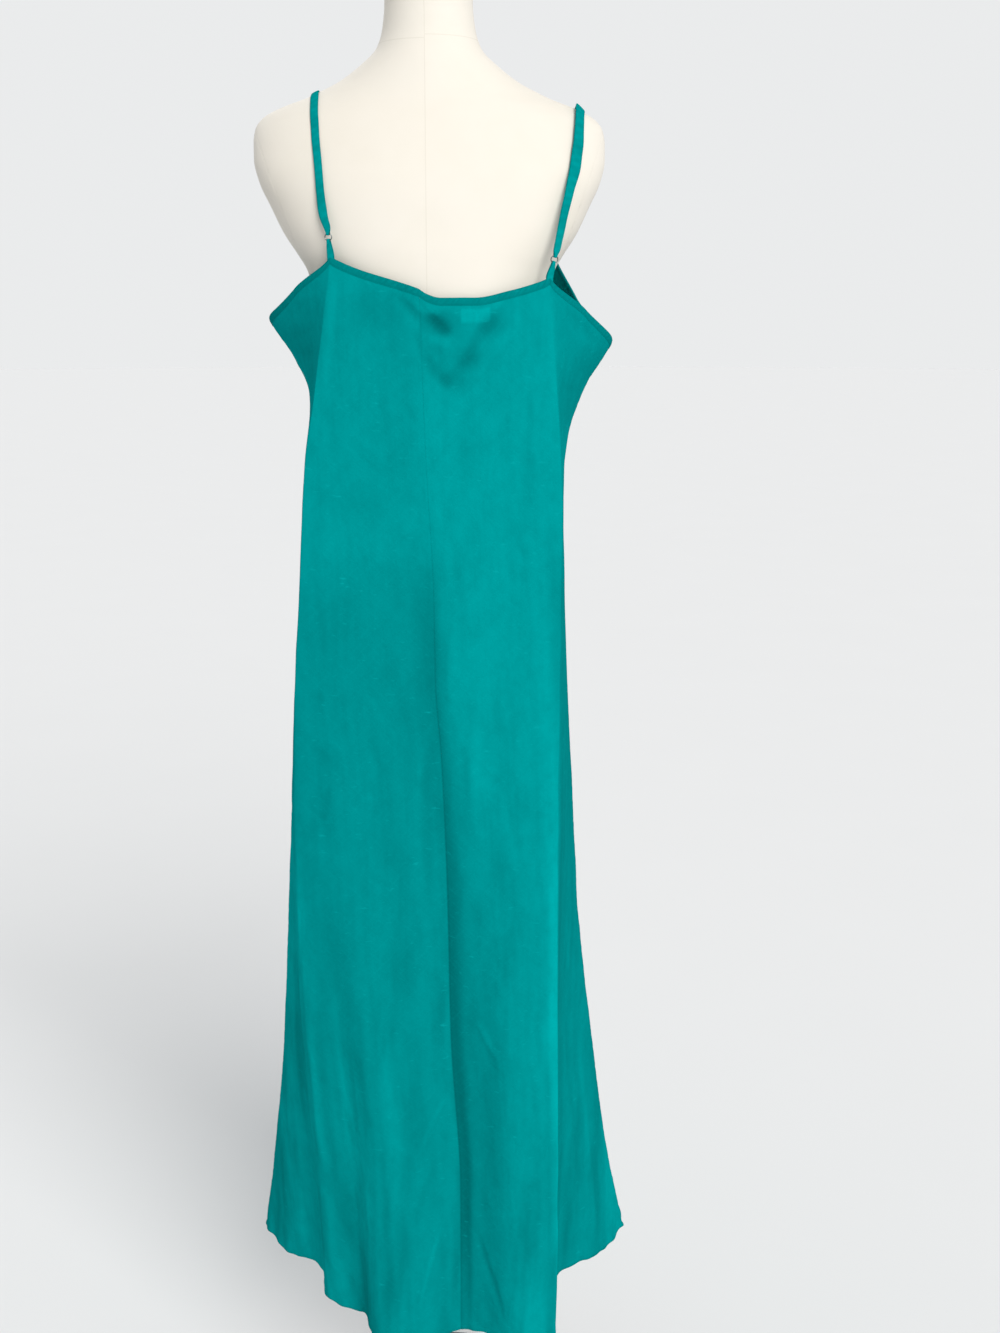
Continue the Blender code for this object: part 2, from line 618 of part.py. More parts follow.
def signed_power(value, power):
    """Raise a number's size to a power and keep its sign."""
    return math.copysign(abs(value) ** power, value)


def form_point(angle, height):
    """Point of the form's surface at an angle round it and a height."""
    half_width, front, back, power = form_row(height)
    across = math.cos(angle)
    depth = math.sin(angle)
    x = half_width * signed_power(across, 2.0 / power)
    reach = back if depth > 0.0 else front
    y = reach * signed_power(depth, 2.0 / power)
    return Vector((x, y - bust_reach(x, y, height) * abs(depth), height))


def form_level(point):
    """Below 1 inside the form and above 1 outside, for the way its surface faces."""
    half_width, front, back, power = form_row(point.z)
    reach = back if point.y > 0.0 else front
    return (abs(point.x) / half_width) ** power + (abs(point.y) / reach) ** power


def form_normal(point):
    """Direction straight away from the form near a point."""
    step = 1.0 * MM
    slope = [form_level(point + move) - form_level(point - move) for move in
             (Vector((step, 0, 0)), Vector((0, step, 0)), Vector((0, 0, step)))]
    return Vector(slope).normalized()


def form_heights():
    """Heights of the form's rings: those of its sections, and one more in each long stretch."""
    heights = []
    for low, high in zip(FORM_SECTIONS[:-1], FORM_SECTIONS[1:]):
        heights.append(low.height)
        if high.height - low.height > FORM_ROW_STEP:
            heights.append(0.5 * (low.height + high.height))
    heights.append(FORM_SECTIONS[-1].height)
    return heights


def form_mesh(name):
    """Closed mesh of the whole torso, shoulders and neck."""
    heights = form_heights()
    points = []
    for height in heights:
        for column in range(FORM_COLUMNS):
            points.append(form_point(2.0 * math.pi * column / FORM_COLUMNS, height))
    faces = []
    for row in range(len(heights) - 1):
        for column in range(FORM_COLUMNS):
            beside = (column + 1) % FORM_COLUMNS
            low = row * FORM_COLUMNS
            high = low + FORM_COLUMNS
            faces.append((low + column, low + beside, high + beside, high + column))
    faces.append(tuple(reversed(range(FORM_COLUMNS))))
    top = (len(heights) - 1) * FORM_COLUMNS
    faces.append(tuple(range(top, top + FORM_COLUMNS)))
    return mesh_from(name, points, faces)


def arm_cutter(name, side, pull):
    """Box whose inner face is the armhole's plane, moved out by pull; side is +1 or -1."""
    (top_x, top_z), (low_x, low_z) = ARM_CUT
    lean = math.atan2(top_x - low_x, top_z - low_z)
    low_gap = (ARM_CUT_LOW - low_z) / math.cos(lean)
    bpy.ops.mesh.primitive_cube_add(size=1.0)
    box = bpy.context.object
    box.name = name
    place = Matrix.Translation((side * low_x, 0.0, low_z)) @ Matrix.Rotation(side * lean, 4, "Y")
    shift = Matrix.Translation((side * (ARM_CUTTER[0] / 2 + pull), 0.0, ARM_CUTTER[2] / 2 + low_gap))
    box.data.transform(place @ shift @ Matrix.Diagonal((*ARM_CUTTER, 1.0)))
    move_to(box, CUTTERS)
    box.hide_render = True
    box.display_type = "WIRE"
    return box


def move_to(item, collection):
    """Move an object out of every collection into one."""
    for old in list(item.users_collection):
        old.objects.unlink(item)
    collection.objects.link(item)


def cut_with(item, operation, cutter):
    """Add a Boolean modifier that keeps the EXACT solver."""
    cut = item.modifiers.new(operation.lower(), "BOOLEAN")
    cut.operation = operation
    cut.object = cutter
    cut.solver = "EXACT"


def build_form():
    """Make the torso with its armholes cut flat, and the domed plate that closes each."""
    torso = add_mesh_object("form_torso", form_mesh("form_torso"), FORM_CLOTH)
    for side, word in ((1, "left"), (-1, "right")):
        cut_with(torso, "DIFFERENCE", arm_cutter("armhole_cutter_" + word, side, 0.0))
        name = "arm_plate_" + word
        plate = add_mesh_object(name, form_mesh(name), FORM_CLOTH)
        cut_with(plate, "INTERSECT", arm_cutter("plate_cutter_" + word, side, SEAM_GAP))


def build_stand():
    """Make the pole and the round base under the torso."""
    bottom = BASE_HEIGHT + SEAM_GAP
    top = TORSO_BOTTOM - SEAM_GAP
    bpy.ops.mesh.primitive_cylinder_add(vertices=24, radius=POLE_RADIUS, depth=top - bottom)
    pole = bpy.context.object
    pole.data.transform(Matrix.Translation((0.0, 0.0, 0.5 * (top + bottom))))
    finish_primitive(pole, "stand_pole", STAND_METAL)
    bpy.ops.mesh.primitive_cylinder_add(vertices=48, radius=BASE_RADIUS, depth=BASE_HEIGHT)
    base = bpy.context.object
    base.data.transform(Matrix.Translation((0.0, 0.0, BASE_HEIGHT / 2)))
    edge = base.modifiers.new("rounded_edge", "BEVEL")
    edge.width = 5.0 * MM
    edge.segments = 2
    edge.limit_method = "ANGLE"
    finish_primitive(base, "stand_base", STAND_METAL)


def finish_primitive(item, name, finish):
    """Name a primitive, give it its finish and put it in the model."""
    item.name = name
    item.data.name = name
    item.data.materials.append(material(finish))
    item.data.shade_smooth()
    item.data.set_sharp_from_angle(angle=math.radians(40))
    move_to(item, MODEL)


# ---------------------------------------------------------------- straps, tabs and rings
PathPoint = namedtuple("PathPoint", "place facing width thick")


def smooth_points(points, count):
    """Points along a smooth open curve through the given path points, however uneven their spacing."""
    rows = np.array([(*point.place, *point.facing, point.width, point.thick) for point in points])
    run = np.linalg.norm(np.diff(rows[:, :3], axis=0), axis=1)[:, None]
    slope = np.diff(rows, axis=0) / run
    turn = np.empty_like(rows)
    turn[0] = slope[0]
    turn[-1] = slope[-1]
    turn[1:-1] = (slope[:-1] * run[1:] + slope[1:] * run[:-1]) / (run[:-1] + run[1:])
    made = []
    for index in range(len(run)):
        for step in range(count):
            share = step / count
            share2 = share * share
            share3 = share2 * share
            made.append((2 * share3 - 3 * share2 + 1) * rows[index]
                        + (share3 - 2 * share2 + share) * run[index] * turn[index]
                        + (3 * share2 - 2 * share3) * rows[index + 1]
                        + (share3 - share2) * run[index] * turn[index + 1])
    made.append(rows[-1])
    return [PathPoint(Vector(row[0:3]), Vector(row[3:6]).normalized(), row[6], row[7]) for row in made]


def build_ribbon(name, path):
    """Loft a flattened tube of cloth along path points; facing is the way its flat side looks."""
    points = []
    for index, point in enumerate(path):
        before = path[max(index - 1, 0)].place
        after = path[min(index + 1, len(path) - 1)].place
        along = (after - before).normalized()
        side = along.cross(point.facing).normalized()
        facing = side.cross(along).normalized()
        for corner in range(STRAP_SIDES):
            angle = 2.0 * math.pi * (corner + 0.5) / STRAP_SIDES
            across = signed_power(math.cos(angle), STRAP_SQUARENESS) * point.width / 2
            proud = signed_power(math.sin(angle), STRAP_SQUARENESS) * point.thick / 2
            points.append(point.place + side * across + facing * proud)
    faces = []
    for ring in range(len(path) - 1):
        for corner in range(STRAP_SIDES):
            beside = (corner + 1) % STRAP_SIDES
            low = ring * STRAP_SIDES
            high = low + STRAP_SIDES
            faces.append((low + corner, low + beside, high + beside, high + corner))
    faces.append(tuple(range(STRAP_SIDES)))
    last = (len(path) - 1) * STRAP_SIDES
    faces.append(tuple(reversed(range(last, last + STRAP_SIDES))))
    add_mesh_object(name, mesh_from(name, points, faces), TEAL_STRAP)


class RingSeat:
    """Where a ring hangs: its middle, the way up along the strap and the way its hole looks."""

    def __init__(self, middle, upward, facing):
        self.middle = middle
        self.upward = upward.normalized()
        across = self.upward.cross(facing).normalized()
        self.facing = across.cross(self.upward).normalized()
        self.across = across

    def at(self, up, out):
        """Point of the ring's middle plane, up along the strap and out along its facing."""
        return self.middle + self.upward * up + self.facing * out


def loop_points(seat, way):
    """Path of cloth round the ring's wire: way is +1 for the strap above it, -1 for the tab below."""
    half_turn = math.asin(LOOP_WIDTH / 2 / RING_RADIUS)
    middle = RING_RADIUS * math.cos(half_turn)
    radius = RING_WIRE + SEAM_GAP + PLY_THICK / 2
    points = []
    for step in range(7):
        angle = math.pi * step / 6
        up = way * (middle - radius * math.sin(angle))
        out = radius * math.cos(angle)
        facing = seat.facing * math.cos(angle) - seat.upward * way * math.sin(angle)
        points.append(PathPoint(seat.at(up, out), facing, LOOP_WIDTH, PLY_THICK))
    return points


def ring_seat(corner, side):
    """Place a ring above a back corner of the dress."""
    base, normal = corner
    tab = TABS[side]
    upward = Vector((tab.lean_x, tab.lean_y, 1.0)).normalized()
    middle = base + upward * (tab.length + RING_RADIUS)
    return RingSeat(middle, upward, normal)


def corner_frame(station):
    """Point on the outside of the top edge at a strap corner, and the cloth's normal there."""
    where = np.array([float(station)])
    height = edge_height(where)
    point = cloth_points(where, height)[0]
    normal = cloth_normals(where, height)[0]
    return Vector(point), Vector(normal)


def build_ring(name, seat):
    """Make a ring from a torus, standing in its seat."""
    bpy.ops.mesh.primitive_torus_add(major_radius=RING_RADIUS, minor_radius=RING_WIRE,
                                     major_segments=24, minor_segments=8)
    ring = bpy.context.object
    turn = Matrix((seat.across, seat.upward, seat.facing)).transposed().to_4x4()
    ring.data.transform(Matrix.Translation(seat.middle) @ turn)
    finish_primitive(ring, name, RING_METAL)


def build_tab(name, seat, corner):
    """Make the loop of cloth from the dress's corner up round the ring and back down."""
    base, normal = corner
    lift = seat.upward * SEAM_GAP
    depth = WALL / 2 + TAB_SPREAD
    front = base + lift - normal * (WALL / 2) + seat.facing * depth
    rear = base + lift - normal * (WALL / 2) - seat.facing * depth
    turn = loop_points(seat, -1)
    front_middle = front.lerp(turn[0].place, 0.5)
    rear_middle = rear.lerp(turn[-1].place, 0.5)
    path = [PathPoint(front, seat.facing, TAB_WIDTH, PLY_THICK),
            PathPoint(front_middle, seat.facing, STRAP_NECK * TAB_WIDTH, PLY_THICK), *turn,
            PathPoint(rear_middle, -seat.facing, STRAP_NECK * TAB_WIDTH, PLY_THICK),
            PathPoint(rear, -seat.facing, TAB_WIDTH, PLY_THICK)]
    build_ribbon(name, smooth_points(path, 2))


def laid_on_form(place):
    """Move a point onto the form's surface, keeping its x."""
    step = 0.5 * MM
    for _ in range(12):
        normal = form_normal(place)
        heading = Vector((0.0, normal.y, normal.z)).normalized()
        slope = (form_level(place + heading * step) - form_level(place - heading * step)) / (2.0 * step)
        place = place - heading * ((form_level(place) - 1.0) / slope)
    return place


def strap_point(point, run):
    """Path point of a strap at a point of its route; run is negative where it goes to the front."""
    lean = math.radians(point.twist)
    width = point.width * MM
    place = Vector((point.x, point.y, point.z))
    facing = form_normal(place)
    if point.rests:
        place = laid_on_form(place)
        facing = form_normal(place)
        half = 0.5 * STRAP_THICK * math.cos(lean) + EDGE_SHARE * width * math.sin(abs(lean))
        place = place + facing * (half + REST_GAP)
    along = facing.cross(Vector((1.0, 0.0, 0.0))).normalized() * math.copysign(1.0, run)
    facing.rotate(Matrix.Rotation(lean, 3, along))
    return PathPoint(place, facing, width, STRAP_THICK)


def route_points(route):
    """Path points of a strap's route, with one more between each two points of it."""
    points = []
    for start, end in zip(route[:-1], route[1:]):
        middle = [0.5 * (first + second) for first, second in zip(start[:5], end[:5])]
        run = end.y - start.y
        points.append(strap_point(start, run))
        if start.rests and end.rests:
            points.append(strap_point(StrapPoint(*middle, True), run))
    points.append(strap_point(route[-1], run))
    return points


def build_strap(name, seat, route, corner):
    """Make a strap from its turned-back end, round the ring, over the shoulder to the front corner."""
    base, normal = corner
    turn = list(reversed(loop_points(seat, 1)))
    neck_width = STRAP_NECK * STRAP_WIDTH
    neck_thick = 0.5 * (PLY_THICK + STRAP_THICK)
    onward = route_points(route)
    rise = seat.at(RING_RADIUS + RISE_FROM_RING, (STRAP_THICK - PLY_THICK) / 2 + SEAM_GAP)
    below = seat.facing * ((STRAP_THICK + PLY_THICK) / 2 + TAIL_GAP)
    tail_end = rise.lerp(onward[0].place, TAIL_REACH) - below
    path = [PathPoint(tail_end, -seat.facing, neck_width, PLY_THICK),
            PathPoint(rise - below, -seat.facing, STRAP_TAIL * STRAP_WIDTH, PLY_THICK),
            *turn,
            PathPoint(rise, seat.facing, neck_width, neck_thick),
            *onward]
    end = base - normal * (WALL / 2) + Vector((0.0, 0.0, SEAM_GAP))
    path.append(PathPoint(end, normal, 0.9 * STRAP_WIDTH, STRAP_THICK))
    build_ribbon(name, smooth_points(path, 2))


def build_straps():
    """Make the rings, their tabs and the straps of both sides."""
    sides = (("left", LEFT_BACK_FOLD, LEFT_FRONT_FOLD, LEFT_STRAP_ROUTE),
             ("right", RIGHT_BACK_FOLD, RIGHT_FRONT_FOLD, RIGHT_STRAP_ROUTE))
    for side, back, front, route in sides:
        corner = corner_frame(back)
        seat = ring_seat(corner, side)
        build_ring("ring_" + side, seat)
        build_tab("tab_" + side, seat, corner)
        build_strap("strap_" + side, seat, route, corner_frame(front))


# ---------------------------------------------------------------- the model
clear_scene()
MODEL = new_collection("slip_dress_on_form")
CUTTERS = new_collection("cutters")
build_panel("back_left", BACK_SEAM, LEFT_SIDE)
build_panel("front", LEFT_SIDE, RIGHT_SIDE)
build_panel("back_right", RIGHT_SIDE, STATION_COUNT)
build_band("neck_band_back", RIGHT_BACK_FOLD, STATION_COUNT + LEFT_BACK_FOLD)
build_band("armhole_band_left", LEFT_BACK_FOLD, LEFT_FRONT_FOLD)
build_band("neck_band_front", LEFT_FRONT_FOLD, RIGHT_FRONT_FOLD)
build_band("armhole_band_right", RIGHT_FRONT_FOLD, RIGHT_BACK_FOLD)
build_label()
build_straps()
build_form()
build_stand()
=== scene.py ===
"""Bias-cut slip dress on a limbless dress form: its cloth, bindings, straps, form, stand and studio."""

import logging
import math
from dataclasses import dataclass
from enum import Enum
from typing import NamedTuple

import bpy
import numpy as np
from mathutils import Matrix, Vector

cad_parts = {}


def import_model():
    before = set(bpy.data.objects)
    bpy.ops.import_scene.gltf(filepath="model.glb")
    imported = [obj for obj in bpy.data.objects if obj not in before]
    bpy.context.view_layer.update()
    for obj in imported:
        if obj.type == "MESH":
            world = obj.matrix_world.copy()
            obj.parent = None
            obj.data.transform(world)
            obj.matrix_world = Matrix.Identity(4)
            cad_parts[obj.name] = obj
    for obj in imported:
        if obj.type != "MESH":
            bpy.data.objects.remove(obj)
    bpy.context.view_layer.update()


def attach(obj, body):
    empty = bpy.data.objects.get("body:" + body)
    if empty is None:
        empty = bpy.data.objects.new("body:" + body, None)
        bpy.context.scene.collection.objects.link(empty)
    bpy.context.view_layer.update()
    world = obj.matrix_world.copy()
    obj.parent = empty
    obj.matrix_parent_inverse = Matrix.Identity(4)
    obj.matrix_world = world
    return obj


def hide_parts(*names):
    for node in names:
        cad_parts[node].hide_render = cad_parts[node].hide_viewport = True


LOG = logging.getLogger("slip_dress")
Array = np.ndarray
Tree = bpy.types.NodeTree
Socket = bpy.types.NodeSocket
Item = bpy.types.Object

# Sizes are in metres unless a comment says otherwise, and heights are above the floor.
MM = 0.001
HEM = 0.240
BAND = 8.0 * MM

# The dress is read by stations round it, the wearer's left first: 0 and 12 the centre-back seam, 1 and 11
# the back strap corners, 3 and 9 the side seams, 5 and 7 the front strap corners, 6 the middle of the front.
STATIONS = 12
LAST_STATION = STATIONS - 1e-6
LEFT_SEAM = 3.0
FRONT_MIDDLE = 6.0
RIGHT_SEAM = 9.0

# Extra columns of points beside a seam, and on both sides of a crisp fold.
SEAM_COLUMNS = (0.5 * MM, 1.1 * MM, 1.9 * MM, 3.1 * MM)
FOLD_COLUMNS = (-3.6 * MM, -1.9 * MM, -0.8 * MM, 0.0, 0.8 * MM, 1.9 * MM, 3.6 * MM)


# ---- tables of the dress
class SeamRow(NamedTuple):
    """Place of the centre-back seam at a height."""

    height: float
    x: float
    y: float


class SideRow(NamedTuple):
    """The fold under a back strap, the hollow in front of it and the side seam, at a height."""

    height: float
    fold_x: float
    fold_y: float
    hollow_x: float
    hollow_y: float
    seam_x: float
    seam_y: float


class FrontRow(NamedTuple):
    """The folds under the front straps, the middle, and the tuck beside them, at a height."""

    height: float
    left_x: float
    left_y: float
    middle_y: float
    right_x: float
    right_y: float
    tuck: float


class Flute(NamedTuple):
    """A fold that grows towards the hem; widths are in stations and depth is at the hem."""

    station: float
    drift: float
    before: float
    after: float
    depth: float
    start: float


class Sag(NamedTuple):
    """Slack that hangs under a neck edge as a shallow hammock."""

    station: float
    spread: float
    height: float
    drop: float
    depth: float


class Crease(NamedTuple):
    """A soft ridge (depth above 0) or trough: ends as (way round, height) in m, the rest in mm."""

    u0: float
    z0: float
    u1: float
    z1: float
    bow: float
    width: float
    depth: float


class Crisp(NamedTuple):
    """A fold line that is pressed sharp: station, reach of its turn in mm, and where that fades in."""

    station: int
    reach: float
    low: float
    high: float


class Patch(NamedTuple):
    """A soft area of painted shade (darker) or painted light (lighter) on the cloth: middle and half size in
    m, softness, change of tone.

    An area with a side of -1 ends sharply at its middle and lies on the wearer's right of it alone.
    """

    u: float
    z: float
    half_u: float
    half_z: float
    soft: float
    change: float
    side: int = 0


class SeamLook(NamedTuple):
    """How a seam looks: its station, its puckers' phase, its groove in mm and its shade."""

    station: float
    phase: float
    groove: float
    shade: float


class FormRow(NamedTuple):
    """A level section of the dress form."""

    height: float
    half_width: float
    front: float
    back: float
    power: float


class StrapPoint(NamedTuple):
    """A point of a strap's route: width in mm, twist in degrees, and whether it lies on the form."""

    x: float
    y: float
    z: float
    width: float
    twist: float = 0.0
    rests: bool = False


class StrapSide(NamedTuple):
    """A strap's side: its corners' stations, route, tab's length, lean outwards and wrinkles' phase."""

    word: str
    back: int
    front: int
    route: tuple
    length: float
    lean: float
    phase: float


def read_rows(kind: type, lengths: int, table: tuple) -> tuple:
    """Read a table's rows as one kind, its first so many columns being lengths in mm."""
    return tuple(kind(*(value / 1000.0 for value in row[:lengths]), *row[lengths:]) for row in table)


BACK_SEAM_LINE = read_rows(SeamRow, 3, (
    (1470, 14.5, 94), (1415, 12.7, 96), (1240, 7.6, 100), (1106, 1.2, 107), (1005, 0, 115), (930, -5.5, 120),
    (775, -11, 127), (610, -13.5, 130), (420, -23, 133), (240, -22.8, 138),
))
LEFT_SIDE_SHAPE = read_rows(SideRow, 7, (
    (1470, 100.5, 74, 146, 42, 190, 0), (1442, 102.8, 76, 145, 43, 187, 0),
    (1385, 110.5, 83, 141, 45, 174, -2), (1345, 116.5, 87, 133, 47, 149, -3),
    (1304, 122.2, 91, 129.5, 48, 132.5, -4), (1243, 132, 96, 134, 48, 132, -4),
    (1110, 141.2, 104, 144.5, 50, 144, -4), (980, 149.8, 113, 153, 52, 157, -5),
    (860, 153, 118, 158.5, 52, 166, -6), (700, 150.5, 117, 159, 48, 177, -14),
    (500, 143, 102, 156, 38, 192, -32), (360, 139, 88, 150, 26, 209, -52), (240, 137, 76, 148, 16, 227, -78),
))
RIGHT_SIDE_SHAPE = read_rows(SideRow, 7, (
    (1470, 121.5, 68, 169, 40, 218, 0), (1424, 121.7, 72, 166, 42, 212, 0),
    (1361, 124.5, 80, 161, 44, 195.5, -2), (1315, 128, 85, 147, 46, 168, -3),
    (1261, 132, 90, 141, 48, 149.5, -4), (1190, 134.2, 96, 140, 50, 141, -4),
    (1096, 133.5, 103, 142, 52, 144.5, -5), (960, 132, 113, 145, 54, 152, -6),
    (860, 131, 120, 146, 50, 158, -10), (700, 130.5, 132, 145, 44, 168, -20),
    (510, 131.8, 146, 144.6, 36, 190, -34), (360, 132.2, 156, 145.2, 34, 211, -46),
    (240, 130, 164, 145, 33, 236, -60),
))
FRONT_SHAPE = read_rows(FrontRow, 7, (
    (1500, 108, -84, -104, 133, -80, 13), (1460, 109, -92, -110, 134, -89, 13),
    (1400, 111, -113, -124, 137, -110, 10), (1350, 113, -127, -131, 139, -124, 4),
    (1280, 115, -131, -133, 140, -129, 0), (1180, 118, -130, -132, 140, -129, 1),
    (1080, 124, -131, -133, 141, -130, 2), (960, 131, -135, -138, 144, -134, 3),
    (800, 133, -144, -145, 145, -143, 8), (600, 133, -157, -152, 146, -158, 17),
    (400, 135, -171, -158, 149, -173, 26), (240, 138, -184, -163, 153, -188, 34),
))

# Share of the way to the next station over which the cloth turns at each, and the folds pressed sharper.
TURN_SHARE = (0.30, 0.20, 0.30, 0.16, 0.30, 0.22, 0.34, 0.22, 0.30, 0.16, 0.30, 0.20)
CRISP_FOLDS = (
    Crisp(1, 2.2, 0.75, 1.05), Crisp(11, 2.2, 0.18, 0.24),
    Crisp(5, 7.0, 1.05, 1.25), Crisp(7, 7.0, 1.05, 1.25),
)

# The finished top edge by station, its corners, and the stations beside a strap corner where it is level.
TOP_EDGE = (
    (0.00, 1.4150), (0.50, 1.4314), (0.80, 1.4418), (1.00, 1.4472), (2.00, 1.4140), (2.50, 1.3965),
    (3.00, 1.3850), (4.00, 1.4190), (5.00, 1.4740), (5.45, 1.4110), (6.00, 1.3540), (6.55, 1.4030),
    (7.00, 1.4640), (8.00, 1.4050), (8.50, 1.3750), (9.00, 1.3610), (9.50, 1.3745), (10.00, 1.3920),
    (11.00, 1.4270), (11.20, 1.4208), (11.40, 1.4136), (11.62, 1.4066), (11.84, 1.4064), (11.94, 1.4102),
    (12.00, 1.4150),
)
EDGE_CORNERS = (0, 1, 3, 5, 6, 7, 9, 11, 12)
STRAP_CORNERS = (1, 5, 7, 11)
CORNER_FLAT = 0.06
FLUTES = (
    Flute(0.45, 0.10, 0.55, 0.20, 0.043, 0.90), Flute(11.50, 0.05, 0.30, 0.30, 0.016, 0.95),
    Flute(11.99, 0.00, 0.12, 0.12, -0.0030, 1.12), Flute(2.41, 0.00, 0.33, 0.33, 0.012, 0.60),
    Flute(4.45, 0.00, 0.42, 0.42, 0.012, 0.80), Flute(5.42, -0.05, 0.36, 0.36, 0.020, 0.92),
    Flute(5.93, 0.04, 0.30, 0.30, -0.010, 1.02), Flute(6.52, 0.06, 0.34, 0.34, 0.017, 0.88),
    Flute(7.50, 0.00, 0.40, 0.40, 0.012, 0.76), Flute(9.63, 0.00, 0.50, 0.50, 0.017, 0.55),
)
SAGS = (
    Sag(11.93, 0.36, 1.376, 0.016, -0.0030), Sag(11.90, 0.28, 1.345, 0.018, -0.0022),
    Sag(6.00, 0.40, 1.318, 0.018, -0.0030), Sag(5.96, 0.30, 1.282, 0.020, -0.0022),
)
SAG_RISE = 0.055
SEAMS = (
    SeamLook(0.0, 0.4, 0.07, 0.08), SeamLook(LEFT_SEAM, 1.9, 0.16, 0.16),
    SeamLook(RIGHT_SEAM, 3.1, 0.16, 0.16),
)

# Creases of the back and flanks, measured round from the centre-back seam, the wearer's left positive.
BACK_CREASES = read_rows(Crease, 4, (
    (-1, 1210, 1, 860, 2, 9, -0.4), (1, 980, -4, 580, 1, 9, -0.3), (-4, 720, -6, 245, 1, 10, -0.9),
    (-2, 1392, -34, 1367, 0, 9, -2.8), (-8, 1369, -31, 1355, 0, 10, 1.3),
    (-41, 1343, -91, 1400, -3, 10, -2.2), (1, 1353, -34, 1312, 3, 10, -2.2),
    (-18, 1317, -55, 1353, 0, 9, -1.5), (34, 1419, -10, 1379, 2, 7, -0.7), (25, 1404, -19, 1360, 2, 8, 0.5),
    (-49, 1319, -103, 1389, -2, 10, 0.7), (1, 1420, -4, 1392, 0, 3.5, -0.6),
    (87, 1438, 104, 1310, 0, 9, 0.9), (-136, 1416, -138, 1263, 0, 9, 0.9), (24, 1307, 7, 1280, 0, 5, -0.5),
    (82, 1264, 30, 1217, 2, 5, -0.45), (74, 1273, 27, 1229, 2, 4, 0.4), (-111, 1319, -102, 1155, 2, 9, -0.6),
    (-84, 1184, -102, 1129, 2, 7, -0.7), (-77, 1264, -123, 1233, 3, 6, -0.35),
    (-75, 1108, -96, 1085, 2, 7, -0.35), (101, 1305, 92, 1254, 2, 8, -0.5),
    (106, 1254, 127, 1099, 2, 12, -0.6), (122, 1218, 85, 1214, 1, 5, 0.3),
    (-19, 1173, -49, 1114, 3, 7, -0.4), (124, 1005, 124, 967, 1, 8, -0.8), (129, 945, 125, 916, 1, 8, -0.8),
    (121, 905, 133, 846, 2, 8, -1.1), (143, 859, 119, 861, 0, 4, 0.8), (122, 951, 102, 938, 0, 4, 0.5),
    (140, 840, 149, 771, 2, 9, -0.6), (78, 1004, 41, 944, 3, 7, 0.5), (78, 967, 59, 906, 4, 7, -0.6),
    (98, 885, 45, 887, 1, 6, 0.3), (86, 801, 57, 785, 1, 4, -0.5), (13, 950, 18, 763, 5, 11, -1.1),
    (18, 946, 28, 894, 1, 6, 0.4), (24, 847, -1, 852, 1, 5, -0.6), (26, 772, -4, 777, 1, 6, 0.4),
    (-65, 1026, -62, 942, 2, 8, -0.7), (-40, 915, -66, 897, 2, 9, -0.5), (-69, 882, -82, 815, 2, 8, -0.7),
    (-45, 1002, -30, 815, 3, 10, 0.8), (-75, 815, -74, 725, 2, 8, -0.4), (-24, 769, -41, 730, 2, 7, -0.5),
    (-117, 880, -108, 441, 2, 13, 1.2), (162, 826, 201, 294, 5, 8, 1.5), (150, 664, 175, 263, 5, 13, -1.1),
    (122, 702, 141, 267, 4, 12, 1.3), (100, 675, 107, 298, 3, 11, -0.4), (72, 704, 79, 261, 3, 13, 1.2),
    (317, 469, 309, 325, 1, 6, 0.9), (166, 295, 167, 259, 0, 8, -1.0), (279, 412, 282, 350, 0, 7, -0.7),
    (4, 544, 52, 456, 4, 5, 1.1), (30, 454, 58, 366, 3, 8, -0.7), (19, 391, 53, 268, 3, 5, 1.4),
    (12, 362, 34, 255, 2, 8, -0.7), (57, 567, 74, 416, 3, 10, 0.5), (-16, 377, -59, 260, 2, 8, -1.2),
    (-24, 365, -45, 310, 2, 5, 0.7), (-27, 634, -55, 579, 2, 5, 1.2), (-33, 606, -63, 549, 2, 6, -0.4),
    (-43, 724, -62, 645, 2, 7, 0.5), (-59, 527, -76, 445, 2, 9, -0.4), (-72, 318, -91, 296, 0, 6, 0.5),
    (-1, 386, -86, 407, 2, 7, 0.5), (155, 1405, 102, 1414, 2, 7, 0.7), (192, 1368, 108, 1379, 3, 6, -0.7),
    (183, 1351, 112, 1352, 1, 7, -1.0), (-152, 1404, -220, 1358, 3, 6, -0.6),
    (-157, 1379, -220, 1351, 3, 6, 0.5), (-152, 1318, -218, 1308, 1, 7, -0.7),
    (-239, 598, -261, 421, 2, 8, -0.9), (-268, 573, -303, 313, 4, 8, 1.0),
    (-255, 475, -281, 322, 3, 7, -0.8), (-294, 407, -316, 262, 2, 6, -0.7),
    (-220, 728, -250, 606, 2, 7, 0.6),
))

